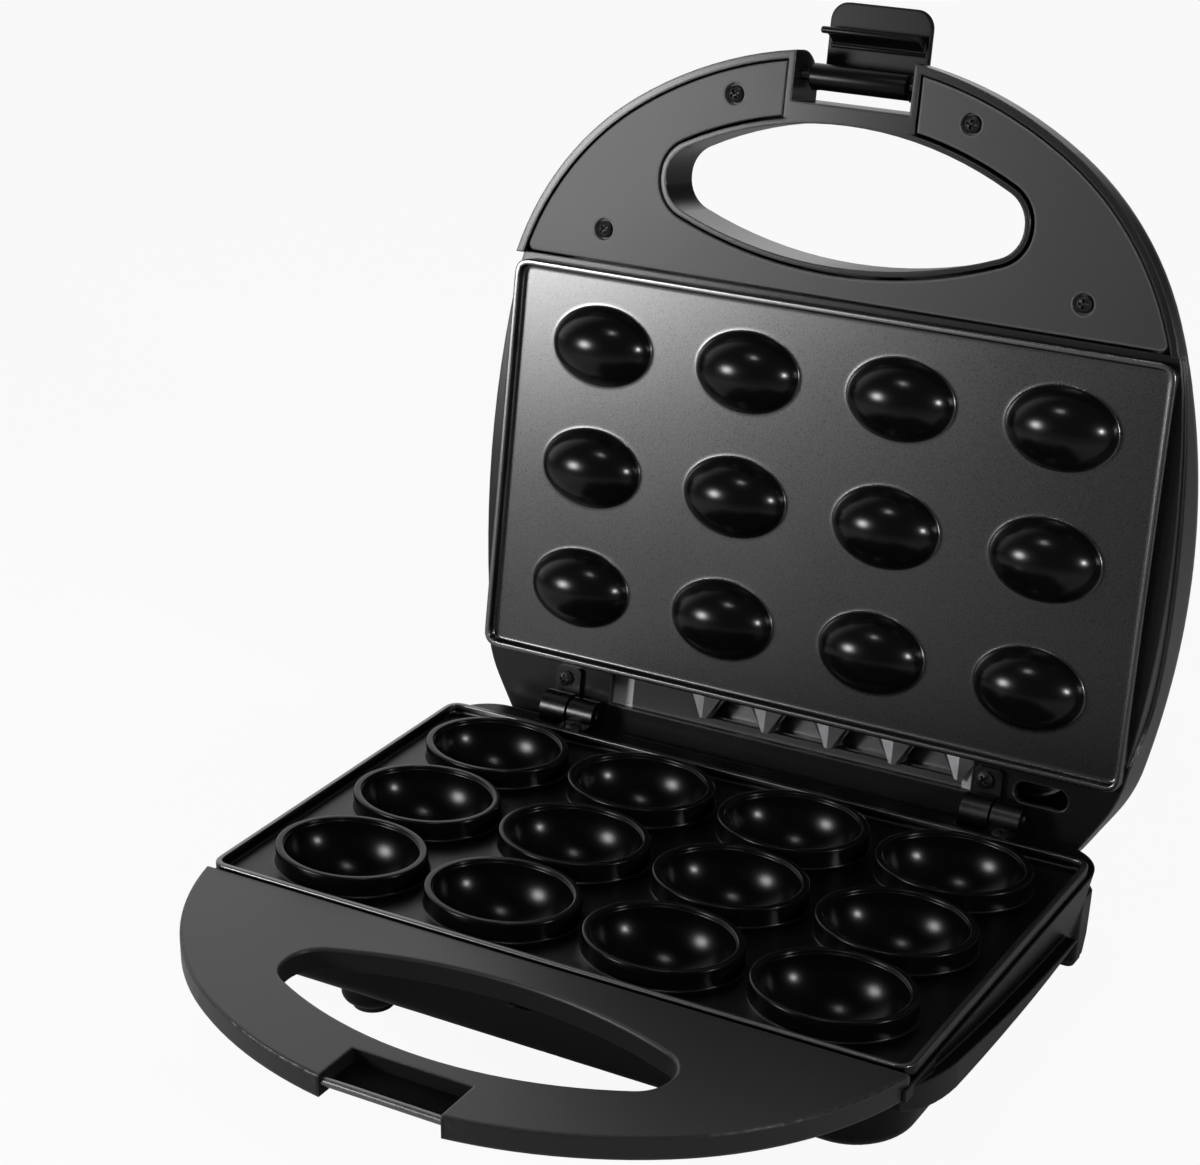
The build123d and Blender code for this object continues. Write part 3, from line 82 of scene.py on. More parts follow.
MM = 0.001
RIM_Z = 36.0
HINGE_Y = 76.9
HINGE_Z = RIM_Z - 1.3
OPEN_ANGLE = 100.3
HINGE_SCREW_Y = 68.0
HINGE_SCREW_SUNK = 2.4
HINGE_SCREW_HEAD = 1.6
BEVEL_SAMPLES = 4
EDGE_TURN = (0.004, 0.1)  # how far a rounded normal turns where an edge mask starts and ends
BOX_BLUR = 0.4  # width of the soft border of a box mask
# A plate's own map runs from 0 in the middle of a mould over 1 at its edge to the flat and rim.
MAP_FLAT = 2.0
# Map value of the rim's crest, where the coating paints a highlight.
MAP_RIM = 3.0
Triple = tuple[float, float, float]
Box = tuple[Triple, Triple]
Span = tuple[float, float]
Profile = list[tuple[float, float, float, float]]
Scalar = Union["Value", float, int]


class Body(Enum):
    """Rigid bodies of the frame."""

    BASE = "base"
    LID = "lid"
    LATCH = "latch"


class Slot(Enum):
    """Material slots of the record that new pieces take."""

    NON_STICK = "non_stick"
    LATCH = "latch_plastic"
    SCREW = "black_steel"


# Shared helpers


def linked(name: str, data: bpy.types.ID) -> bpy.types.Object:
    """A new object of the scene with this data."""
    made = bpy.data.objects.new(name, data)
    bpy.context.scene.collection.objects.link(made)
    return made


def settled(carrier: bpy.types.Object) -> bpy.types.Mesh:
    """The mesh that an object's modifiers give; the object itself goes."""
    graph = bpy.context.evaluated_depsgraph_get()
    mesh = bpy.data.meshes.new_from_object(carrier.evaluated_get(graph))
    bpy.data.objects.remove(carrier)
    return mesh


def opened(point: Vector) -> Vector:
    """Turns a point of the shut lid to where the open lid has it, in millimetres."""
    angle = math.radians(-OPEN_ANGLE)
    y, z = point.y - HINGE_Y, point.z - HINGE_Z
    return Vector((point.x, HINGE_Y + y * math.cos(angle) - z * math.sin(angle),
                   HINGE_Z + y * math.sin(angle) + z * math.cos(angle)))


def turned(place: Callable[[Vector], Vector], direction: Triple) -> Vector:
    """The direction that a placing of points makes of this one."""
    return place(Vector(direction)) - place(Vector())


def arc(centre: Span, radius: float, start: float, end: float, steps: int) -> list[Span]:
    """Points of an arc, with angles in degrees."""
    angles = [math.radians(start + (end - start) * i / steps) for i in range(steps + 1)]
    return [(centre[0] + radius * math.cos(a), centre[1] + radius * math.sin(a)) for a in angles]


# Shader helpers


class Value:
    """A shader value that can be used in Python arithmetic."""

    def __init__(self, graph: "ShaderGraph", socket: bpy.types.NodeSocket) -> None:
        """Keeps the graph and the output socket."""
        self.graph = graph
        self.socket = socket

    def _math(self, operation: str, *others: Scalar) -> "Value":
        """Result of a Math node with these values on its sockets."""
        links = dict(enumerate(others))
        return self.graph.node("ShaderNodeMath", {"operation": operation}, links)

    def __add__(self, other: Scalar) -> "Value":
        """Sum."""
        return self._math("ADD", self, other)

    def __mul__(self, other: Scalar) -> "Value":
        """Product."""
        return self._math("MULTIPLY", self, other)

    def __sub__(self, other: Scalar) -> "Value":
        """Difference."""
        return self._math("SUBTRACT", self, other)

    def __rsub__(self, other: Scalar) -> "Value":
        """Reflected difference."""
        return self._math("SUBTRACT", other, self)

    def __truediv__(self, other: Scalar) -> "Value":
        """Quotient."""
        return self._math("DIVIDE", self, other)

    def clamp(self) -> "Value":
        """Limits to 0..1."""
        limited = self._math("ADD", self, 0.0)
        limited.socket.node.use_clamp = True
        return limited

    def smooth(self, low: float, high: float) -> "Value":
        """Smooth step from 0 at the low value to 1 at the high one."""
        settings = {"interpolation_type": "SMOOTHSTEP"}
        return self.graph.node("ShaderNodeMapRange", settings, {0: self, 1: low, 2: high})


class ShaderGraph:
    """A shader node tree of a material, a lamp or the world."""

    def __init__(self, owner: Union[bpy.types.Material, bpy.types.Light, bpy.types.World]) -> None:
        """Empties the owner's node tree."""
        self.owner = owner
        owner.use_nodes = True
        self.tree = owner.node_tree
        self.tree.nodes.clear()

    @classmethod
    def of_material(cls, name: str) -> "ShaderGraph":
        """Tree of a new material."""
        return cls(bpy.data.materials.new(name))

    def node(self, kind: str, settings: dict[str, object], inputs: dict[Union[int, str], object],
             output: Union[int, str] = 0) -> Value:
        """Adds any node.

        Args:
            kind: Blender's node type.
            settings: Properties of the node, set first.
            inputs: Values or links by socket name or number.
            output: Output socket to return.

        Returns:
            The chosen output as a Value.
        """
        made = self.tree.nodes.new(kind)
        for key, setting in settings.items():
            setattr(made, key, setting)
        for key, source in inputs.items():
            if isinstance(source, Value):
                self.tree.links.new(source.socket, made.inputs[key])
            else:
                made.inputs[key].default_value = source
        return Value(self, made.outputs[output])

    def coordinates(self) -> Value:
        """Coordinates of the piece itself."""
        return self.node("ShaderNodeTexCoord", {}, {}, "Object")

    def noise(self, scale: float, detail: float = 2.0) -> Value:
        """Noise on the piece's coordinates, scale in cycles a metre."""
        return self.node("ShaderNodeTexNoise", {},
                         {"Vector": self.coordinates(), "Scale": scale, "Detail": detail}, "Fac")

    def mix(self, factor: Scalar, first: object, second: object) -> Value:
        """Colour mix."""
        return self.node("ShaderNodeMix", {"data_type": "RGBA"},
                         {0: factor, 6: first, 7: second}, 2)

    def bump(self, height: Value, distance: float, strength: float,
             normal: Optional[Value] = None) -> Value:
        """Bump from a height, over a normal where one is given."""
        inputs = {"Height": height, "Distance": distance, "Strength": strength}
        if normal is not None:
            inputs["Normal"] = normal
        return self.node("ShaderNodeBump", {}, inputs, "Normal")

    def soft_edges(self, width: float) -> tuple[Value, Value]:
        """Normal rounded over the edges, and a mask that is 1 on them."""
        rounded = self.node("ShaderNodeBevel", {"samples": BEVEL_SAMPLES}, {"Radius": width}, 0)
        plain = self.node("ShaderNodeNewGeometry", {}, {}, "Normal")
        off = 1 - self.vector("DOT_PRODUCT", rounded, plain)
        return rounded, off.smooth(*EDGE_TURN)

    def within(self, low: Triple, high: Triple) -> Value:
        """Mask of a box of the piece's own coordinates.

        Args:
            low: Lowest corner, in millimetres.
            high: Highest corner.

        Returns:
            1 inside the box and 0 outside.
        """
        where = self.coordinates()
        mask = None
        for axis, start, end in zip("XYZ", low, high):
            along = self.axis(where, axis)
            after = along.smooth((start - BOX_BLUR) * MM, start * MM)
            before = 1 - along.smooth(end * MM, (end + BOX_BLUR) * MM)
            side = after * before
            mask = side if mask is None else mask * side
        return mask

    def axis(self, vector: Value, name: str) -> Value:
        """One coordinate of a vector."""
        return self.node("ShaderNodeSeparateXYZ", {}, {0: vector}, name)

    def vector(self, operation: str, first: object, second: object) -> Value:
        """Number that a Vector Math node gives."""
        return self.node("ShaderNodeVectorMath", {"operation": operation},
                         {0: first, 1: second}, "Value")

    def surface(self, **inputs: object) -> bpy.types.Material:
        """Adds the surface shader and its output.

        Args:
            inputs: Socket values by name, with underscores for spaces.

        Returns:
            The finished material.
        """
        named = {key.replace("_", " "): value for key, value in inputs.items()}
        shader = self.node("ShaderNodeBsdfPrincipled", {}, named, "BSDF")
        self.end("ShaderNodeOutputMaterial", shader)
        return self.owner

    def end(self, kind: str, shader: Value) -> None:
        """Links a shader to the tree's output node."""
        output = self.tree.nodes.new(kind)
        self.tree.links.new(shader.socket, output.inputs["Surface"])


def grey(level: float, blue: float = 0.0) -> tuple[float, float, float, float]:
    """A grey colour with an optional touch of blue."""
    return (level, level, level * (1 + blue), 1.0)


# Finishes


@dataclass(frozen=True)
class MouldedPlastic:
    """Moulded plastic with a grain and soft uneven gloss."""

    name: str
    colour: float
    roughness: float
    grain_scale: float = 2600.0
    grain_depth: float = 0.00004
    grain_strength: float = 0.3
    sparkle: float = 0.0
    specular: float = 0.5
    edge_width: float = 0.0
    # How much lighter the colour is along edges: a painted highlight.
    edge_highlight_paint: float = 0.0
    # Boxes, in millimetres, that take painted shade: a near-black colour and rough gloss.
    painted_shade_boxes: tuple[Box, ...] = ()
    cloud_scale: float = 22.0
    cloud_tone: float = 0.3
    tones: Span = (0.4, 1.6)
    tint: float = 0.03
    # Blue touch of the painted edge highlight.
    edge_highlight_tint: float = 0.02
    cloud_gloss: float = 0.06
    grain_gloss: float = 0.1
    # Colour and roughness of the painted shade in those boxes.
    painted_shade_colour: float = 0.0005
    painted_shade_roughness: float = 0.9

    def build(self) -> bpy.types.Material:
        """Makes the material."""
        graph = ShaderGraph.of_material(self.name)
        grain = graph.noise(self.grain_scale)
        cloud = graph.noise(self.cloud_scale)
        tone = (grain - 0.5) * self.sparkle + (cloud - 0.5) * self.cloud_tone * self.colour
        low, high = (grey(self.colour * tone_share, self.tint) for tone_share in self.tones)
        shade = graph.mix((tone / self.colour * 0.5 + 0.5).clamp(), low, high)
        rough = (cloud - 0.5) * self.cloud_gloss + (grain - 0.5) * self.grain_gloss + self.roughness
        rounded = None
        if self.edge_width:
            rounded, edges = graph.soft_edges(self.edge_width)
            # Painted highlight: the colour is lighter along the edges.
            shade = graph.mix(edges, shade, grey(self.colour + self.edge_highlight_paint, self.edge_highlight_tint))
        # Painted shade: inside each box the colour goes near black and the gloss rough.
        for recess in self.painted_shade_boxes:
            deep = graph.within(*recess)
            shade = graph.mix(deep, shade, grey(self.painted_shade_colour))
            rough = rough * (1 - deep) + deep * self.painted_shade_roughness
        normal = graph.bump(grain, self.grain_depth, self.grain_strength, rounded)
        return graph.surface(Base_Color=shade, Roughness=rough, Normal=normal,
                             Specular_IOR_Level=self.specular)


@dataclass(frozen=True)
class NonStick:
    """Dark satin coating; the moulds are smoother and darker than the flat."""

    name: str
    flat: float
    mould: float
    flat_roughness: float
    mould_roughness: float
    # How much lighter the rim's crest is: a painted highlight.
    rim_highlight_share: float = 1.7
    specular: float = 0.3
    mould_edge: Span = (0.96, 1.03)
    # Where the painted highlight round each mould's foot starts and ends in the map, and how much
    # lighter it is.
    foot_highlight_start: Span = (1.0, 1.07)
    foot_highlight_end: Span = (1.1, 1.3)
    foot_highlight_tone: float = 0.08
    # Where the rim's painted highlight starts in the map.
    rim_highlight_start: Span = (2.2, 2.8)
    speck_scale: float = 3400.0
    speck_tone: float = 1.1
    speck_gloss: float = 0.08
    speck_depth: float = 0.00003
    speck_strength: float = 0.25
    cloud_scale: float = 16.0
    cloud_tone: float = 0.2
    cloud_gloss: float = 0.03
    tones: Span = (0.55, 1.45)

    def build(self) -> bpy.types.Material:
        """Makes the material, driven by the piece's own map of its moulds."""
        graph = ShaderGraph.of_material(self.name)
        where = graph.node("ShaderNodeUVMap", {"uv_map": "Mould"}, {}, "UV")
        u = graph.axis(where, "X")
        inside = 1 - u.smooth(*self.mould_edge)
        # Painted highlight: a lighter ring round the foot of each mould.
        foot_highlight = u.smooth(*self.foot_highlight_start) * (1 - u.smooth(*self.foot_highlight_end))
        speck = graph.noise(self.speck_scale)
        cloud = graph.noise(self.cloud_scale)
        tone = (speck - 0.5) * self.speck_tone + (cloud - 0.5) * self.cloud_tone
        flat = graph.mix((tone + foot_highlight * self.foot_highlight_tone + 0.5).clamp(),
                         *(grey(self.flat * tone_share) for tone_share in self.tones))
        # Painted highlight on the rim's crest.
        flat = graph.mix(u.smooth(*self.rim_highlight_start), flat, grey(self.flat * self.rim_highlight_share))
        shade = graph.mix(inside, flat, grey(self.mould))
        uneven = (cloud - 0.5) * self.cloud_gloss + (speck - 0.5) * self.speck_gloss
        rough = (uneven + self.flat_roughness) * (1 - inside) + inside * self.mould_roughness
        normal = graph.bump(speck, self.speck_depth, self.speck_strength)
        return graph.surface(Base_Color=shade, Roughness=rough, Metallic=1 - inside,
                             Normal=normal, Specular_IOR_Level=self.specular)


@dataclass(frozen=True)
class Steel:
    """Satin or bright metal with fine scatter in its gloss."""

    name: str
    colour: float
    roughness: float
    warmth: float = 0.0
    fine_scale: float = 900.0
    fine_detail: float = 3.0
    fine_gloss: float = 0.2
    fine_depth: float = 0.00002
    fine_strength: float = 0.2
    cloud_scale: float = 60.0
    cloud_gloss: float = 0.15
    tones: Span = (0.75, 1.15)

    def build(self) -> bpy.types.Material:
        """Makes the material."""
        graph = ShaderGraph.of_material(self.name)
        fine = graph.noise(self.fine_scale, self.fine_detail)
        cloud = graph.noise(self.cloud_scale)
        dark, light = self.tones
        high = (self.colour * (light + self.warmth), self.colour * light,
                self.colour * (light - self.warmth), 1.0)
        shade = graph.mix(((fine + cloud) * 0.5).clamp(), grey(self.colour * dark), high)
        uneven = (fine - 0.5) * self.fine_gloss + (cloud - 0.5) * self.cloud_gloss
        normal = graph.bump(fine, self.fine_depth, self.fine_strength)
        return graph.surface(Base_Color=shade, Roughness=uneven + self.roughness, Metallic=1.0,
                             Normal=normal)


@dataclass(frozen=True)
class VentSheet:
    """Sheet of the vent strip: painted light on its ridges, rear edge and ends, painted shade
    between.

    Places are in millimetres on the shut lid.
    """

    name: str
    # Colours of the painted light and of the painted shade.
    bright: float
    dark: float
    face: float = RIM_Z + 9.4
    ridge: Span = (-0.14, -0.03)
    rear: Span = (73.6, 74.0)
    end: Span = (56.5, 56.8)
    # Share of painted light on the strip's ends.
    end_painted_light: float = 0.4
    tint: float = 0.04
    roughness: float = 0.32
    dark_gloss: float = 0.25
    fine_scale: float = 500.0
    fine_gloss: float = 0.1

    def build(self) -> bpy.types.Material:
        """Makes the material from the sheet's own coordinates, turned back to the shut lid."""
        graph = ShaderGraph.of_material(self.name)
        where = graph.coordinates()
        origin = opened(Vector()) * MM
        up, back = turned(opened, (0, 0, 1)), turned(opened, (0, 1, 0))
        height = graph.vector("DOT_PRODUCT", where, tuple(up)) - origin.dot(up)
        depth = graph.vector("DOT_PRODUCT", where, tuple(back)) - origin.dot(back)
        aside = graph.node("ShaderNodeMath", {"operation": "ABSOLUTE"},
                           {0: graph.axis(where, "X")})
        ridge = 1 - height.smooth(*((self.face + part) * MM for part in self.ridge))
        edge = depth.smooth(*(place * MM for place in self.rear))
        ends = aside.smooth(*(place * MM for place in self.end))
        # Painted light where this mask is 1 and painted shade elsewhere; the lit parts are metallic
        # too.
        painted_light_mask = (ridge + edge + ends * self.end_painted_light).clamp()
        fine = graph.noise(self.fine_scale)
        shade = graph.mix(painted_light_mask, grey(self.dark), grey(self.bright, self.tint))
        rough = (fine - 0.5) * self.fine_gloss + (1 - painted_light_mask) * self.dark_gloss + self.roughness
        return graph.surface(Base_Color=shade, Roughness=rough, Metallic=painted_light_mask)


@dataclass(frozen=True)
class Lens:
    """Clear coloured plastic of an indicator."""

    name: str
    colour: Triple
    shaded: float = 0.6
    cloud_scale: float = 300.0
    roughness: float = 0.12
    coat: float = 0.5

    def build(self) -> bpy.types.Material:
        """Makes the material."""
        graph = ShaderGraph.of_material(self.name)
        deep = tuple(part * self.shaded for part in self.colour)
        shade = graph.mix(graph.noise(self.cloud_scale, 1.0), (*self.colour, 1), (*deep, 1))
        return graph.surface(Base_Color=shade, Roughness=self.roughness, Coat_Weight=self.coat)


# Boxes where the base's plastics take painted shade: inside the hand slot and the latch notch.
HAND_SLOT: Box = ((-60.0, -115.5, 20.0), (60.0, -74.0, 34.0))
LATCH_NOTCH: Box = ((-18.6, -136.0, 15.0), (18.6, -117.0, 34.2))
FINISHES = {
    "dark_housing": MouldedPlastic(
        "housing_gloss", 0.006, 0.25, grain_strength=0.06, specular=0.4,
        edge_width=0.0009, edge_highlight_paint=0.05),
    "grained_cover": MouldedPlastic(
        "cover_grain", 0.026, 0.4, grain_scale=2100.0, grain_strength=0.35, sparkle=0.012,
        specular=0.4, edge_width=0.0009, edge_highlight_paint=0.16),
    "latch_plastic": MouldedPlastic(
        "latch_satin", 0.0025, 0.3, grain_strength=0.1, specular=0.18,
        edge_width=0.0005, edge_highlight_paint=0.02),
    "non_stick": NonStick("lid_coating", 0.1, 0.003, 0.28, 0.21),
    # The base plate's coating: the lid's coating with its colour darkened as painted shade, and its
    # rim lightened more as painted highlight.
    "base_plate_shaded_coating": NonStick("base_plate_shaded_coating", 0.03, 0.002, 0.3, 0.22, 5.0, 0.2),
    "plain_steel": Steel("hinge_steel", 0.2, 0.34),
    "black_steel": MouldedPlastic(
        "black_screw", 0.004, 0.4, grain_scale=900.0, specular=0.45,
        edge_width=0.0002, edge_highlight_paint=0.015),
    "bright_aluminium": Steel("bright_sheet", 0.72, 0.3),
    "heater_sheath": Steel("heater_sheath", 0.3, 0.45, 0.08),
    "white_ceramic": MouldedPlastic("ceramic", 0.75, 0.5, grain_scale=800.0),
    "foot_rubber": MouldedPlastic("foot_rubber", 0.008, 0.6, grain_scale=1500.0, specular=0.3),
    "red_lens": Lens("red_lens", (0.5, 0.02, 0.015)),
    "green_lens": Lens("green_lens", (0.02, 0.35, 0.06)),
    "base_cover": MouldedPlastic(
        "base_cover_satin", 0.012, 0.33, grain_scale=2300.0, grain_depth=0.00002,
        grain_strength=0.25, sparkle=0.004, specular=0.4, edge_width=0.0009, edge_highlight_paint=0.08,
        painted_shade_boxes=(HAND_SLOT, LATCH_NOTCH)),
    "base_tub": MouldedPlastic(
        "tub_black", 0.003, 0.34, grain_strength=0.08, specular=0.14,
        edge_width=0.0009, edge_highlight_paint=0.02, painted_shade_boxes=(LATCH_NOTCH,)),
    "hinge_black": Steel("hinge_black", 0.05, 0.32),
    "vent_strip": VentSheet("vent_strip_sheet", 0.95, 0.012),
    "reflector_dark": Steel("reflector_tarnished", 0.2, 0.38),
}
# Nodes that take another finish than their slot's.
NODE_FINISHES = {
    "base_plate": "base_plate_shaded_coating",
    "base_handle_cover": "base_cover",
    "base_housing": "base_tub",
    "lid_hinge_bracket_left": "hinge_black",
    "lid_hinge_bracket_right": "hinge_black",
    "base_hinge_bracket_left": "hinge_black",
    "base_hinge_bracket_right": "hinge_black",
    "hinge_pins": "hinge_black",
    "lid_vent_strip": "vent_strip",
    "lid_reflector": "reflector_dark",
}


class Workshop:
    """What all sub-assemblies share: the frame, the screw tree and each finish, built once."""

    def __init__(self, frame: dict) -> None:
        """Takes the frame, with no finish built yet."""
        self.nodes: dict[str, bpy.types.Object] = frame["nodes"]
        self.slots = {entry["node"]: entry["material_slot"]
                      for entry in frame["record"]["subparts"]}
        self.screws = screw_tree()
        self.made: dict[str, bpy.types.Material] = {}

    def finish_of(self, node: str) -> bpy.types.Material:
        """The material of a node: its own finish, or else its slot's."""
        finish = NODE_FINISHES.get(node, self.slots[node])
        if finish not in self.made:
            self.made[finish] = FINISHES[finish].build()
        return self.made[finish]


# Mesh helpers


class MeshSketch:
    """Collects rings of points in millimetres and joins them into one mesh."""

    def __init__(self) -> None:
        """Starts with an empty mesh and its mould map."""
        self.mesh = bmesh.new()
        self.map = self.mesh.loops.layers.uv.new("Mould")
        self.reach: dict[bmesh.types.BMVert, float] = {}

    def ring(self, points: Iterable[Vector],
             reach: float = MAP_FLAT) -> list[bmesh.types.BMVert]:
        """Adds a ring of vertices with their place in the mould map."""
        made = [self.mesh.verts.new(p) for p in points]
        for vertex in made:
            self.reach[vertex] = reach
        return made

    def bridge(self, first: list[bmesh.types.BMVert],
               second: list[bmesh.types.BMVert]) -> None:
        """Joins two rings of the same count by quads."""
        for i in range(len(first)):
            j = (i + 1) % len(first)
            self.mesh.faces.new((first[i], first[j], second[j], second[i]))

    def cap(self, ring: list[bmesh.types.BMVert], centre: Vector, reach: float = 0.0) -> None:
        """Closes a ring with a fan."""
        middle = self.ring([centre], reach)[0]
        for i in range(len(ring)):
            self.mesh.faces.new((ring[i], ring[(i + 1) % len(ring)], middle))

    def finish(self, name: str, place: Callable[[Vector], Vector],
               weld: float = 0.02) -> bpy.types.Object:
        """Welds, turns and scales the mesh into a finished object.

        Args:
            name: Name of the piece.
            place: Moves each point, in millimetres.
            weld: Distance within which points are one.

        Returns:
            The object, linked to the scene.
        """
        for face in self.mesh.faces:
            face.smooth = True
            for loop in face.loops:
                loop[self.map].uv = (self.reach.get(loop.vert, MAP_FLAT), 0.5)
        bmesh.ops.remove_doubles(self.mesh, verts=self.mesh.verts, dist=weld)
        bmesh.ops.recalc_face_normals(self.mesh, faces=self.mesh.faces)
        for vertex in self.mesh.verts:
            vertex.co = place(vertex.co) * MM
        data = bpy.data.meshes.new(name)
        self.mesh.to_mesh(data)
        self.mesh.free()
        return linked(name, data)


@dataclass
class ShapedPiece:
    """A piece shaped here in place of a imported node."""

    name: str
    body: Body
    node: str
    slot: Slot

    def shape(self, workshop: Workshop) -> bpy.types.Object:
        """Makes the object, linked to the scene."""
        raise NotImplementedError

    def build(self, workshop: Workshop) -> None:
        """Makes the piece on its body, hides its node and gives it its finish.

        Args:
            workshop: What all pieces share.
        """
        made = self.shape(workshop)
        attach(made, self.body.value)
        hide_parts(self.node)
        if not made.data.materials:
            made.data.materials.append(workshop.finish_of(self.node))
        log.info("%s has %d faces", made.name, len(made.data.polygons))


# Cooking plates


def bowl(half_length: float, half_breadth: float, middle: float, side: float, end: float,
         steps: int, last_map: float) -> Profile:
    """Rings of an oval bowl or dome from its pole.

    Args:
        half_length: Half of its length.
        half_breadth: Half of its width, and its depth.
        middle: Depth of its middle behind the rim plane.
        side: 1 for a pole behind the middle, -1 for one before it.
        end: Angle from the pole to the last ring.
        steps: Number of rings.
        last_map: Map value of the last ring.

    Returns:
        Half length, half width, depth and map value of each ring.
    """
    rings = [(0.0, 0.0, middle + side * half_breadth, 0.0)]
    for i in range(1, steps + 1):
        a = end * i / steps
        rings.append((half_length * math.sin(a), half_breadth * math.sin(a),
                      middle + side * half_breadth * math.cos(a), last_map * i / steps))
    return rings


@dataclass
class DomeShape:
    """Oval dome of the lid plate, hollow behind."""

    half_length: float = 17.6
    half_breadth: float = 12.4
    middle: float = 5.6
    wall: float = 2.2
    fillet: float = 0.6
    fillet_rise: float = 0.5
    fillet_bend: float = 1.6
    skirt: float = 1.0
    steps: int = 22

    def cap(self, wall: float, level: float) -> Profile:
        """Rings from the tip, this far inside the dome, to a level behind the rim plane."""
        half_breadth = self.half_breadth - wall
        foot = math.acos(min(max((self.middle - level) / half_breadth, 0), 1))
        return bowl(self.half_length - wall, half_breadth, self.middle, -1, foot, self.steps, 0.95)

    def with_skirt(self, rings: Profile, level: float) -> Profile:
        """The rings and one more on the flat round them."""
        length, breadth = rings[-1][:2]
        return rings + [(length + self.skirt, breadth + self.skirt, level, 1.2)]

    def front(self, flat: float) -> Profile:
        """Rings of the outside, from its tip over a fillet to the flat.

        Args:
            flat: Depth of the flat behind the rim plane.

        Returns:
            Half length, half width, depth and map value of each ring.
        """
        rings = self.cap(0.0, flat - self.fillet_rise)
        length, breadth = rings[-1][:2]
        for i in range(1, 5):
            turn = math.sin(math.pi / 8 * i)
            rings.append((length + self.fillet * turn, breadth + self.fillet * turn,
                          flat - self.fillet_rise * (1 - turn) ** self.fillet_bend,
                          0.97 + 0.04 * i))
        return self.with_skirt(rings, flat)

    def back(self, level: float) -> Profile:
        """Rings of the hollow behind the dome."""
        return self.with_skirt(self.cap(self.wall, level), level)


@dataclass
class CupShape:
    """Oval cup of the base plate with a rounded collar."""

    half_length: float = 20.5
    half_breadth: float = 16.3
    top: float = -2.6
    wall: float = 2.0
    collar_length: float = 23.0
    collar_breadth: float = 18.2
    lip: float = 0.6
    foot: float = 0.7
    steps: int = 22
    reach: float = 0.985
    back_steps: int = 14
    back_map: float = 1.5

    def front(self, flat: float) -> Profile:
        """Rings of the hollow, its rounded lip, the collar's side and its foot.

        Args:
            flat: Depth of the flat behind the rim plane.

        Returns:
            Half length, half width, depth and map value of each ring.
        """
        rings = bowl(self.half_length, self.half_breadth, self.top, 1,
                     math.pi / 2 * self.reach, self.steps, 0.9)
        lip, foot = self.lip, self.foot
        rings += [(self.half_length + out, self.half_breadth + out, level, 0.9)
                  for out, level in arc((lip, self.top + lip), lip, 180, 270, 4)]
        rings += [(self.collar_length + out, self.collar_breadth + out, level, 0.92)
                  for out, level in arc((-lip, self.top + lip), lip, -90, 0, 4)]
        rings += [(self.collar_length + out, self.collar_breadth + out, level, 0.94 + i * 0.03)
                  for i, (out, level) in enumerate(arc((foot, flat - foot), foot, 180, 90, 4))]
        return rings

    def back(self, level: float) -> Profile:
        """Rings of the cup's underside."""
        half_breadth = self.half_breadth + self.wall
        rings = bowl(self.half_length + self.wall, half_breadth, self.top, 1,
                     math.acos((level - self.top) / half_breadth), self.back_steps, 0.0)
        return [(*ring[:3], self.back_map) for ring in rings]


def border(half_x: float, half_y: float, counts: tuple[int, int]) -> list[Span]:
    """Points round a rectangle, from its lower right corner upwards.

    Args:
        half_x: Half of its length.
        half_y: Half of its width.
        counts: Points of an upright and of a level side.

    Returns:
        The points in order.
    """
    corners = [(1, -1), (1, 1), (-1, 1), (-1, -1), (1, -1)]
    points = []
    for start, end, count in zip(corners, corners[1:], counts * 2):
        for i in range(count):
            x, y = (a + (b - a) * (i / count) for a, b in zip(start, end))
            points.append((half_x * x, half_y * y))
    return points


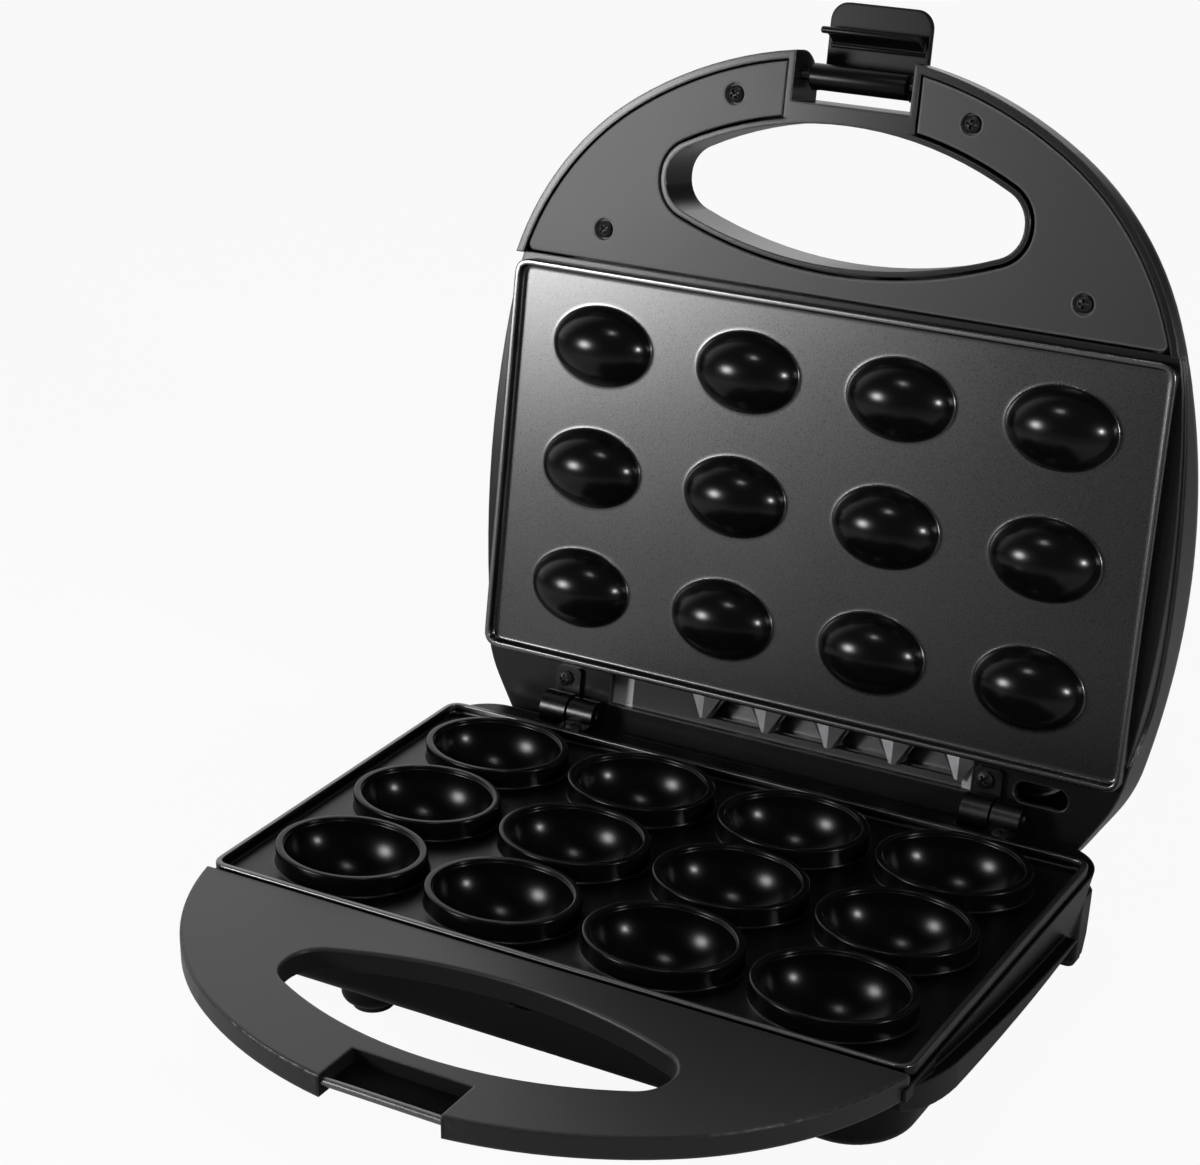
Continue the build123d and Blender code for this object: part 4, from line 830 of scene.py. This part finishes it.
@dataclass
class CookingPlate(ShapedPiece):
    """Plate with a raised rim and a grid of moulds, drawn as rings round each mould."""

    place: Callable[[Vector], Vector]
    direction: float
    moulds: Union[DomeShape, CupShape]
    length: float = 216.0
    width: float = 125.4
    corner: float = 4.5
    pitch_x: float = 50.5
    pitch_y: float = 38.6
    offset_y: float = -0.5
    columns: int = 4
    rows: int = 3
    rim_gap: float = 0.2
    well: float = 3.0
    rim: float = 1.8
    seat: float = 1.8
    sheet: float = 2.4
    drop: float = 4.0
    well_border: float = 1.7
    well_fillet: float = 1.0
    inner_round: float = 0.35
    outer_round: float = 0.6
    crest_depth: float = 0.5
    crest_width: float = 1.81
    tight_corner: float = 0.6
    apron: Triple = (0.35, 0.7, 1.0)
    apron_map: float = 1.3
    segments: int = 96

    def depth(self, below: float) -> float:
        """Height of a surface that lies this far behind the rim plane."""
        return RIM_Z + self.direction * below

    def mould(self, sketch: MeshSketch, x: float, y: float, profile: Profile,
              level: float) -> None:
        """One mould and the flat of its cell.

        Args:
            sketch: Mesh that takes the rings.
            x: Middle of the mould.
            y: Middle of the mould.
            profile: Half length, half width, depth and map value of each ring, from the middle.
            level: Depth of the flat behind the rim plane.
        """
        half_x, half_y = self.pitch_x / 2, self.pitch_y / 2
        per_side = self.segments // 4
        edge = [(x + px, y + py) for px, py in border(half_x, half_y, (per_side, per_side))]
        turns = [math.atan2((py - y) / half_y, (px - x) / half_x) for px, py in edge]
        previous = None
        for half_length, half_breadth, below, reach in profile:
            z = self.depth(below)
            if half_length == 0:
                pole = Vector((x, y, z))
                continue
            ring = sketch.ring([Vector((x + half_length * math.cos(a),
                                        y + half_breadth * math.sin(a), z))
                                for a in turns], reach)
            if previous is None:
                sketch.cap(ring, pole)
            else:
                sketch.bridge(previous, ring)
            previous = ring
        z = self.depth(level)
        last = profile[-1]
        for share in self.apron:
            points = []
            for a, (px, py) in zip(turns, edge):
                inner = Vector((x + last[0] * math.cos(a), y + last[1] * math.sin(a), z))
                outer = Vector((px, py, z))
                points.append(inner.lerp(outer, share))
            ring = sketch.ring(points, self.apron_map + (MAP_FLAT - self.apron_map) * share)
            sketch.bridge(previous, ring)
            previous = ring

    def grid_counts(self) -> tuple[int, int]:
        """Points of an upright and of a level side of the whole grid of cells."""
        return self.segments // 4 * self.rows, self.segments // 4 * self.columns

    def grid_border(self) -> list[Span]:
        """Points round the outside of the whole grid of cells, in order."""
        half_x, half_y = self.columns * self.pitch_x / 2, self.rows * self.pitch_y / 2
        return [(x, self.offset_y + y) for x, y in border(half_x, half_y, self.grid_counts())]

    def rounded(self, inset: float, below: float) -> list[Vector]:
        """Rounded rectangle of the rim, sampled to match the outside of the cell grid.

        Args:
            inset: How far it is inside the plate's outline.
            below: Depth behind the rim plane.

        Returns:
            The points in order.
        """
        half_x, half_y = self.length / 2 - inset, self.width / 2 - inset
        radius = max(self.corner - inset, self.tight_corner)
        core_x, core_y = half_x - radius, half_y - radius
        points = []
        for x, y in border(half_x, half_y, self.grid_counts()):
            # Straight sides stay; the corners are bent round.
            dx, dy = abs(x) - core_x, abs(y) - core_y
            if dx > 0 and dy > 0:
                angle = dy / (dx + dy) * math.pi / 2
                x = math.copysign(core_x + radius * math.cos(angle), x)
                y = math.copysign(core_y + radius * math.sin(angle), y)
            points.append(Vector((x, y, self.depth(below))))
        return points

    def shape(self, workshop: Workshop) -> bpy.types.Object:
        """Makes the plate's mesh, front and back.

        Args:
            workshop: What all pieces share; not used.

        Returns:
            The object, linked to the scene.
        """
        sketch = MeshSketch()
        flat = self.rim_gap + self.well
        back = flat + self.sheet
        front_rings, back_rings = self.moulds.front(flat), self.moulds.back(back)
        for column in range(self.columns):
            for row in range(self.rows):
                x = (column - (self.columns - 1) / 2) * self.pitch_x
                y = (row - (self.rows - 1) / 2) * self.pitch_y + self.offset_y
                self.mould(sketch, x, y, front_rings, flat)
                self.mould(sketch, x, y, back_rings, back)
        for level, steps in ((flat, self.rim_section()), (back, self.seat_section())):
            z = self.depth(level)
            previous = sketch.ring([Vector((x, y, z)) for x, y in self.grid_border()])
            for inset, below in steps:
                # The rim's crest takes MAP_RIM, where the coating paints a highlight.
                crest = below < self.rim_gap + self.crest_depth and inset < self.crest_width
                ring = sketch.ring(self.rounded(inset, below), MAP_RIM if crest else MAP_FLAT)
                sketch.bridge(previous, ring)
                previous = ring
        return sketch.finish(self.name, self.place)

    def rim_section(self) -> list[Span]:
        """Inset and depth of each ring from the well up over the rim and down its side."""
        flat, top, drop = self.rim_gap + self.well, self.rim_gap, self.drop
        fillet, inner, outer = self.well_fillet, self.inner_round, self.outer_round
        steps = [(self.rim + self.well_border, flat)]
        steps += arc((self.rim + fillet, flat - fillet), fillet, 90, 180, 4)
        steps += arc((self.rim - inner, top + inner), inner, 0, -90, 3)
        steps += arc((outer, top + outer), outer, -90, -180, 4)
        return steps + [(0.0, drop - 0.3), (0.1, drop), (1.0, drop), (self.seat, drop)]

    def seat_section(self) -> list[Span]:
        """Inset and depth of each ring of the back, out to where the rim's seat starts."""
        back = self.rim_gap + self.well + self.sheet
        return [(self.seat + 0.8, back), (self.seat + 0.1, back), (self.seat, back - 0.1),
                (self.seat, self.drop)]


# Latch


BEVEL_STEPS = 3
SHARP_ANGLE = 40.0


def bevelled(outline: list[Vector], along: Vector, width: float) -> bpy.types.Mesh:
    """A prism with rounded edges.

    Args:
        outline: Corners of one end, in millimetres.
        along: From one end to the other.
        width: Width of the rounding.

    Returns:
        The mesh.
    """
    count = len(outline)
    data = bpy.data.meshes.new("prism")
    faces = [tuple(range(count)), tuple(range(2 * count - 1, count - 1, -1))]
    faces += [(i, (i + 1) % count, count + (i + 1) % count, count + i) for i in range(count)]
    data.from_pydata([tuple(p) for p in outline] + [tuple(p + along) for p in outline], [], faces)
    carrier = linked("prism", data)
    edge = carrier.modifiers.new("edge", "BEVEL")
    edge.width, edge.segments = width, BEVEL_STEPS
    edge.limit_method, edge.angle_limit = "ANGLE", math.radians(SHARP_ANGLE)
    return settled(carrier)


@dataclass
class Latch(ShapedPiece):
    """Latch: finger plate, web, hook with a rolled lip, second rib and sleeve round the pin.

    It is drawn shut, with its pivot at the origin.
    """

    pivot_y: float = -128.8
    pivot_z: float = RIM_Z + 7.0
    half: float = 15.75
    offset: float = 9.2
    sheet: float = 1.9
    length: float = 21.5
    plate_round: float = 0.5
    web: Span = (1.9, 3.9)
    web_foot: float = -1.0
    web_round: float = 0.35
    bend: float = 2.5
    tip_corner: float = 5.0
    hook_radius: float = 13.6
    hook_sheet: float = 1.5
    hook_root: float = 0.8
    hook_end: float = -4.9
    hook_inset: float = 1.0
    hook_round: float = 0.3
    lip_radius: float = 1.05
    lip_overhang: float = 1.1
    lip_inset: float = 0.9
    rib_drop: float = 9.2
    rib_radius: float = 0.55
    rib_inset: float = 0.4
    sleeve: float = 3.9
    pin_bore: float = 1.7
    soft_end: float = 0.7
    segments: int = 32
    small_face: float = 8.0
    weld: float = 0.0001

    def turned_out(self, point: Vector) -> Vector:
        """Moves a point to where the latch turned out on the open lid has it."""
        return opened(Vector((point.x, self.pivot_y + point.z, self.pivot_z - point.y)))

    def side(self, outline: list[Span], half: float, width: float) -> bpy.types.Mesh:
        """A prism across the latch from its side view."""
        return bevelled([Vector((-half, y, z)) for y, z in outline],
                        Vector((2 * half, 0, 0)), width)

    def plate(self) -> bpy.types.Mesh:
        """The finger plate with its rounded tip corners."""
        corner, low = self.tip_corner, -self.length
        outline = [(self.half, self.web[0]), (-self.half, self.web[0])]
        outline += arc((-self.half + corner, low + corner), corner, 180, 270, 8)
        outline += arc((self.half - corner, low + corner), corner, 270, 360, 8)
        return bevelled([Vector((x, -self.offset, z)) for x, z in outline],
                        Vector((0, -self.sheet, 0)), self.plate_round)

    def top(self) -> bpy.types.Mesh:
        """The web from the sleeve to the plate, with its bend."""
        outer = -self.offset - self.sheet
        outline = [(0.0, self.web[0]), (0.0, self.web[1])]
        outline += arc((outer + self.bend, self.web[1] - self.bend), self.bend, 90, 180, 6)
        outline += [(outer, self.web_foot), (-self.offset, self.web_foot),
                    (-self.offset, self.web[0])]
        return self.side(outline, self.half, self.web_round)

    def hook(self) -> bpy.types.Mesh:
        """The hook as a curved sheet round the pivot."""
        inner, outer = self.hook_radius, self.hook_radius + self.hook_sheet
        root = -self.offset - self.hook_root
        outline = []
        for radius, start, end in ((inner, root, self.hook_end), (outer, self.hook_end, root)):
            turns = [180 + math.degrees(math.acos(y / -radius)) for y in (start, end)]
            outline += arc((0, 0), radius, *turns, 8)
        return self.side(outline, self.half - self.hook_inset, self.hook_round)

    def bar(self, centre: Span, radius: float, ends: Span, bore: float = 0.0) -> bpy.types.Mesh:
        """A bar across the latch with rounded ends.

        Args:
            centre: Middle of the bar from the pivot, drawn on the shut latch.
            radius: Radius of the bar.
            ends: Left and right end.
            bore: Radius of a hole along it, or 0.

        Returns:
            The mesh.
        """
        left, right = ends
        soft = min(radius * 0.5, self.soft_end)
        stations = arc((left + soft, radius - soft), soft, 180, 90, 4)
        stations += [(left + right - x, r) for x, r in reversed(stations)]
        if bore:
            stations = [(left, bore), *stations, (right, bore)]
        last = 360 * (1 - 1 / self.segments)
        sketch = MeshSketch()
        rings = [sketch.ring([Vector((x, y, z)) for y, z in
                              arc(centre, r, 0, last, self.segments - 1)])
                 for x, r in stations]
        for first, second in zip(rings, rings[1:]):
            sketch.bridge(first, second)
        if bore:
            sketch.bridge(rings[-1], rings[0])
        else:
            sketch.cap(rings[0], Vector((left, *centre)))
            sketch.cap(rings[-1], Vector((right, *centre)))
        mesh = bpy.data.meshes.new("bar")
        sketch.mesh.to_mesh(mesh)
        sketch.mesh.free()
        return mesh

    def shape(self, workshop: Workshop) -> bpy.types.Object:
        """Makes the whole latch in one mesh.

        Args:
            workshop: What all pieces share; not used.

        Returns:
            The object, linked to the scene.
        """
        lip_reach = self.hook_radius + self.hook_sheet / 2
        lip_z = -math.sqrt(lip_reach ** 2 - self.hook_end ** 2)
        parts = [self.plate(), self.top(), self.hook(),
                 self.bar((self.hook_end, lip_z), self.lip_radius,
                          (-self.half - self.lip_overhang, self.half - self.lip_inset)),
                 self.bar((-self.offset, -self.rib_drop), self.rib_radius,
                          (-self.half + self.rib_inset, self.half - self.rib_inset)),
                 self.bar((0.0, 0.0), self.sleeve, (-self.half, self.half), self.pin_bore)]
        sketch = MeshSketch()
        for part in parts:
            sketch.mesh.from_mesh(part)
        made = sketch.finish(self.name, self.turned_out, self.weld)
        for face in made.data.polygons:
            face.use_smooth = face.area < self.small_face * MM * MM or len(face.vertices) == 3
        made.data.set_sharp_from_angle(angle=math.radians(38))
        return made


# Screws by Geometry Nodes


class GeometryTree:
    """A geometry node tree with named inputs."""

    def __init__(self, name: str, inputs: dict[str, tuple[str, object]]) -> None:
        """Makes the tree and its interface.

        Args:
            name: Name of the tree.
            inputs: Socket type and default by input name.
        """
        self.tree = bpy.data.node_groups.new(name, "GeometryNodeTree")
        face = self.tree.interface
        face.new_socket("Geometry", in_out="INPUT", socket_type="NodeSocketGeometry")
        self.ids = {}
        for label, (kind, default) in inputs.items():
            socket = face.new_socket(label, in_out="INPUT", socket_type=kind)
            if default is not None:
                socket.default_value = default
            self.ids[label] = socket.identifier
        face.new_socket("Geometry", in_out="OUTPUT", socket_type="NodeSocketGeometry")
        self.start = self.tree.nodes.new("NodeGroupInput")
        self.end = self.tree.nodes.new("NodeGroupOutput")

    def take(self, label: str) -> bpy.types.NodeSocket:
        """The socket of a named input."""
        return self.start.outputs[label]

    def node(self, kind: str, settings: Optional[dict[str, object]] = None,
             inputs: Optional[dict[Union[int, str], object]] = None) -> bpy.types.Node:
        """Adds a node.

        Args:
            kind: Blender's node type.
            settings: Properties of the node.
            inputs: Values or links by socket name or number.

        Returns:
            The node.
        """
        made = self.tree.nodes.new(kind)
        for key, setting in (settings or {}).items():
            setattr(made, key, setting)
        for key, source in (inputs or {}).items():
            if isinstance(source, bpy.types.NodeSocket):
                self.tree.links.new(source, made.inputs[key])
            else:
                made.inputs[key].default_value = source
        return made

    def math(self, operation: str, first: object, second: object) -> bpy.types.NodeSocket:
        """Result of a Math node."""
        made = self.node("ShaderNodeMath", {"operation": operation}, {0: first, 1: second})
        return made.outputs[0]

    def lifted(self, geometry: bpy.types.Node, height: object) -> bpy.types.Node:
        """A geometry moved along Z."""
        up = self.node("ShaderNodeCombineXYZ", {}, {2: height})
        return self.node("GeometryNodeTransform", {}, {
            "Geometry": geometry.outputs[0], "Translation": up.outputs[0]})

    def joined(self, kind: str, settings: dict[str, object], parts: list[bpy.types.Node],
               first: Optional[bpy.types.Node] = None) -> bpy.types.Node:
        """Joins or cuts geometries.

        Args:
            kind: Type of the node that takes them.
            settings: Its properties.
            parts: Geometries for its socket that takes many.
            first: The geometry that a cut starts from.

        Returns:
            The node.
        """
        made = self.node(kind, settings, {0: first.outputs[0]} if first else {})
        many = next(socket for socket in made.inputs if socket.is_multi_input)
        for part in parts:
            self.tree.links.new(part.outputs[0], many)
        return made

    def finish(self, geometry: bpy.types.NodeSocket) -> None:
        """Ends the tree in Realize Instances and Set Material."""
        real = self.node("GeometryNodeRealizeInstances", {}, {"Geometry": geometry})
        shade = self.node("GeometryNodeSetMaterial", {},
                          {"Geometry": real.outputs[0], "Material": self.take("Material")})
        self.tree.links.new(shade.outputs[0], self.end.inputs[0])

    def apply(self, name: str, points: list[Vector], values: dict[str, object]) -> bpy.types.Object:
        """Runs the tree on points and returns a plain mesh.

        Args:
            name: Name of the piece.
            points: Places in the row frame, in metres.
            values: Named inputs.

        Returns:
            The finished object.
        """
        data = bpy.data.meshes.new(name + "_points")
        data.from_pydata([tuple(p) for p in points], [], [])
        carrier = linked(name + "_points", data)
        modifier = carrier.modifiers.new("tree", "NODES")
        modifier.node_group = self.tree
        for label, value in values.items():
            modifier[self.ids[label]] = value
        return linked(name, settled(carrier))


def screw_tree() -> GeometryTree:
    """Cross-head screws on points: a domed head, a cross recess and a shank."""
    tree = GeometryTree("cross_head_screws", {
        "Axis": ("NodeSocketVector", (0.0, 0.0, 1.0)),
        "Head Radius": ("NodeSocketFloat", 0.00255),
        "Head Height": ("NodeSocketFloat", 0.0014),
        "Crown": ("NodeSocketFloat", 0.0045),
        "Recess Length": ("NodeSocketFloat", 0.003),
        "Recess Width": ("NodeSocketFloat", 0.0008),
        "Recess Depth": ("NodeSocketFloat", 0.001),
        "Shank Radius": ("NodeSocketFloat", 0.0014),
        "Shank Length": ("NodeSocketFloat", 0.004),
        "Turn": ("NodeSocketFloat", 0.5),
        "Material": ("NodeSocketMaterial", None),
    })
    height, crown = tree.take("Head Height"), tree.take("Crown")
    body = tree.node("GeometryNodeMeshCylinder", {}, {
        "Vertices": 40, "Radius": tree.take("Head Radius"),
        "Depth": tree.math("MULTIPLY", height, 2.0)})
    ball = tree.node("GeometryNodeMeshUVSphere", {}, {
        "Segments": 48, "Rings": 32, "Radius": crown})
    ball_low = tree.lifted(ball, tree.math("SUBTRACT", height, crown))
    head = tree.joined("GeometryNodeMeshBoolean", {"operation": "INTERSECT"}, [body, ball_low])
    arms = []
    for length, width in (("Recess Length", "Recess Width"), ("Recess Width", "Recess Length")):
        size = tree.node("ShaderNodeCombineXYZ", {}, {
            0: tree.take(length), 1: tree.take(width),
            2: tree.math("MULTIPLY", tree.take("Recess Depth"), 2.0)})
        cube = tree.node("GeometryNodeMeshCube", {}, {"Size": size.outputs[0]})
        arms.append(tree.lifted(cube, height))
    cut = tree.joined("GeometryNodeMeshBoolean", {"operation": "DIFFERENCE"}, arms, head)
    shank = tree.node("GeometryNodeMeshCylinder", {}, {
        "Vertices": 16, "Radius": tree.take("Shank Radius"), "Depth": tree.take("Shank Length")})
    shank_low = tree.lifted(shank, tree.math("MULTIPLY", tree.take("Shank Length"), -0.5))
    whole = tree.joined("GeometryNodeJoinGeometry", {}, [cut, shank_low])
    aim = tree.node("FunctionNodeAlignRotationToVector", {"axis": "Z"},
                    {"Vector": tree.take("Axis")})
    index = tree.node("GeometryNodeInputIndex")
    spin = tree.node("ShaderNodeCombineXYZ", {}, {2: tree.math(
        "MULTIPLY", index.outputs[0], tree.take("Turn"))})
    turn = tree.node("FunctionNodeRotateRotation", {"rotation_space": "LOCAL"},
                     {0: aim.outputs[0], 1: spin.outputs[0]})
    many = tree.node("GeometryNodeInstanceOnPoints", {}, {
        "Points": tree.take("Geometry"), "Instance": whole.outputs[0], "Rotation": turn.outputs[0]})
    tree.finish(many.outputs[0])
    return tree


@dataclass
class ScrewGroup(ShapedPiece):
    """Screws of one kind: where each head's seat is, and the way the heads face."""

    place: Callable[[Vector], Vector]
    facing: float
    seats: list[Triple]
    head_height: float = 1.4
    shank: float = 4.0
    turn: float = 0.7

    def shape(self, workshop: Workshop) -> bpy.types.Object:
        """Makes the group from the shared tree.

        Args:
            workshop: What all pieces share.

        Returns:
            The object, linked to the scene.
        """
        axis = turned(self.place, (0, 0, self.facing))
        points = [self.place(Vector(seat)) * MM for seat in self.seats]
        return workshop.screws.apply(self.name, points, {
            "Axis": tuple(axis), "Head Height": self.head_height * MM,
            "Shank Length": self.shank * MM, "Turn": self.turn,
            "Material": workshop.finish_of(self.node)})


# Sub-assemblies


@dataclass
class SubAssembly:
    """What rides on one body: pieces shaped here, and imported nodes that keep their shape."""

    body: Body

    def shaped(self) -> list[ShapedPiece]:
        """Pieces of this body that are shaped here."""
        raise NotImplementedError

    def build(self, workshop: Workshop) -> None:
        """Makes the shaped pieces."""
        for piece in self.shaped():
            piece.build(workshop)

    def dress(self, workshop: Workshop) -> None:
        """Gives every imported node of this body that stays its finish.

        Args:
            workshop: What all pieces share.
        """
        replaced = {piece.node for piece in self.shaped()}
        for name, node in workshop.nodes.items():
            if name in replaced or body_of(node) != [self.body.value]:
                continue
            node.data.materials.clear()
            node.data.materials.append(workshop.finish_of(name))
            log.info("%s takes %s", name, node.data.materials[0].name)


@dataclass
class Base(SubAssembly):
    """Tub, handle cover and catch bar, with the plate of cups and the hinges' lower halves."""

    body: Body = Body.BASE
    screw_x: Span = (-66.4, 77.6)

    def shaped(self) -> list[ShapedPiece]:
        """The base plate and the screws of its hinge brackets."""
        hinge_seats = [(x, HINGE_SCREW_Y, RIM_Z - HINGE_SCREW_SUNK) for x in self.screw_x]
        return [CookingPlate("base_plate_coated", self.body, "base_plate", Slot.NON_STICK,
                             Vector.copy, -1.0, CupShape()),
                ScrewGroup("base_hinge_screws_shaped", self.body, "base_hinge_screws",
                           Slot.SCREW, Vector.copy, 1.0, hinge_seats, HINGE_SCREW_HEAD)]


@dataclass
class Lid(SubAssembly):
    """Shell and handle cover, with the plate of domes and the hinges' upper halves."""

    body: Body = Body.LID
    cover_screws: tuple[Span, ...] = ((78, -75.3), (-78, -75.3), (38, -121), (-38, -121))
    cover_sunk: float = 2.2
    screw_x: Span = (-77.6, 66.4)

    def shaped(self) -> list[ShapedPiece]:
        """The lid plate and the screws of the handle cover and of the hinges."""
        cover_seats = [(x, y, RIM_Z + self.cover_sunk) for x, y in self.cover_screws]
        hinge_seats = [(x, HINGE_SCREW_Y, RIM_Z + HINGE_SCREW_SUNK) for x in self.screw_x]
        return [CookingPlate("lid_plate_coated", self.body, "lid_plate", Slot.NON_STICK,
                             opened, 1.0, DomeShape()),
                ScrewGroup("lid_handle_screws_shaped", self.body, "lid_handle_screws",
                           Slot.SCREW, opened, -1.0, cover_seats),
                ScrewGroup("lid_hinge_screws_shaped", self.body, "lid_hinge_screws",
                           Slot.SCREW, opened, -1.0, hinge_seats, HINGE_SCREW_HEAD)]


@dataclass
class LidLatch(SubAssembly):
    """The latch on its pin in the lid's handle."""

    body: Body = Body.LATCH

    def shaped(self) -> list[ShapedPiece]:
        """The latch."""
        return [Latch("latch_shaped", self.body, "latch", Slot.LATCH)]


# Studio


@dataclass(frozen=True)
class SoftLamp:
    """A square lamp whose light fades towards its edge."""

    name: str
    where: Triple
    size: float
    power: float
    aim: Triple = (0.0, 0.05, 0.12)
    spread: float = 180.0
    fade: Span = (0.12, 0.5)
    gain: float = 2.4

    def build(self) -> None:
        """Makes the lamp and puts it in the scene."""
        data = bpy.data.lights.new(self.name, "AREA")
        data.shape = "SQUARE"
        data.size = self.size
        data.energy = self.power
        data.spread = math.radians(self.spread)
        graph = ShaderGraph(data)
        place = graph.node("ShaderNodeNewGeometry", {}, {}, "Parametric")
        reach = graph.vector("DISTANCE", place, (0.5, 0.5, 0.0))
        fade = (1 - reach.smooth(*self.fade)) * self.gain
        light = graph.node("ShaderNodeEmission", {}, {"Color": grey(1.0), "Strength": fade})
        graph.end("ShaderNodeOutputLight", light)
        made = linked(self.name, data)
        made.location = self.where
        towards = Vector(self.aim) - Vector(self.where)
        made.rotation_euler = towards.to_track_quat("-Z", "Y").to_euler()
        made.visible_camera = False


@dataclass
class Studio:
    """Floor, soft lamps, pale surround and the camera."""

    target: Triple = (-0.004598, 0.011048, 0.126424)
    azimuth: float = 28.913
    elevation: float = 21.715
    roll: float = 0.526
    distance: float = 0.76236
    lens: float = 83.33
    sensor: float = 36.0
    shift: Span = (-0.05, -0.02875)
    lamps: tuple[SoftLamp, ...] = (
        SoftLamp("softbox_left", (-0.57, -0.62, 0.31), 0.34, 1.35, (-0.04, 0.08, 0.2), 90.0),
        SoftLamp("lamp_over", (-0.04, -0.20, 0.66), 0.09, 0.4),
        SoftLamp("lamp_right", (0.98, -0.28, 0.41), 0.19, 0.7, (0.0, 0.1, 0.22), 60.0),
    )
    wall_towards: Triple = (-0.75, 0.6, 0.28)
    wall_span: Span = (0.5, 0.93)
    wall_light: float = 1.2
    room_light: float = 0.05
    ambient: float = 0.18
    floor_half: float = 6.0
    floor_tone: float = 0.93
    floor_glow: float = 0.93

    def world(self) -> None:
        """White to the camera; a pale wall behind on the left, a dim room elsewhere."""
        world = bpy.data.worlds.new("surround")
        bpy.context.scene.world = world
        graph = ShaderGraph(world)
        seen, glossy, through = (graph.node("ShaderNodeLightPath", {}, {}, name) for name in (
            "Is Camera Ray", "Is Glossy Ray", "Is Transmission Ray"))
        direction = tuple(Vector(self.wall_towards).normalized())
        towards = graph.vector("DOT_PRODUCT", graph.coordinates(), direction)
        wall_share = towards.smooth(*self.wall_span)
        wall = wall_share * (self.wall_light - self.room_light) + self.room_light
        shiny = (glossy + through).clamp()
        light = shiny * wall + (1 - shiny) * self.ambient
        strength = seen + (1 - seen) * light
        sky = graph.node("ShaderNodeBackground", {}, {"Color": grey(1.0), "Strength": strength})
        graph.end("ShaderNodeOutputWorld", sky)

    def floor(self) -> None:
        """Pale floor that takes the object's soft shadow."""
        graph = ShaderGraph.of_material("floor_white")
        diffuse = graph.node("ShaderNodeBsdfDiffuse", {}, {"Color": grey(self.floor_tone)})
        glow = graph.node("ShaderNodeEmission", {}, {"Color": grey(1.0), "Strength": 1.0})
        seen = graph.node("ShaderNodeLightPath", {}, {}, "Is Camera Ray")
        mixed = graph.node("ShaderNodeMixShader", {},
                           {0: seen * self.floor_glow, 1: diffuse, 2: glow})
        graph.end("ShaderNodeOutputMaterial", mixed)
        data = bpy.data.meshes.new("floor")
        half = self.floor_half
        data.from_pydata([(-half, -half, 0), (half, -half, 0), (half, half, 0), (-half, half, 0)],
                         [], [(0, 1, 2, 3)])
        data.materials.append(graph.owner)
        made = linked("floor", data)

    def camera(self) -> None:
        """Camera at the photograph's angle."""
        az, el, roll = (math.radians(v) for v in (self.azimuth, self.elevation, self.roll))
        back = Vector((math.sin(az) * math.cos(el), -math.cos(az) * math.cos(el), math.sin(el)))
        turn = back.to_track_quat("Z", "Y").to_matrix() @ Matrix.Rotation(roll, 3, "Z")
        data = bpy.data.cameras.new("camera")
        data.lens = self.lens
        data.sensor_width = self.sensor
        data.shift_x, data.shift_y = self.shift
        made = linked("camera", data)
        place = Vector(self.target) + back * self.distance
        made.matrix_world = Matrix.Translation(place) @ turn.to_4x4()
        bpy.context.scene.camera = made

    def build(self) -> None:
        """Sets the whole studio up."""
        self.world()
        self.floor()
        for lamp in self.lamps:
            lamp.build()
        self.camera()
        bpy.context.scene.view_settings.view_transform = "Standard"


def main() -> None:
    """Builds the scene piece by piece."""
    logging.basicConfig(level=logging.INFO, format="%(message)s")
    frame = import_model()
    workshop = Workshop(frame)
    for part in (Lid(), Base(), LidLatch()):
        part.build(workshop)
        part.dress(workshop)
    Studio().build()


if __name__ == "__main__":
    main()
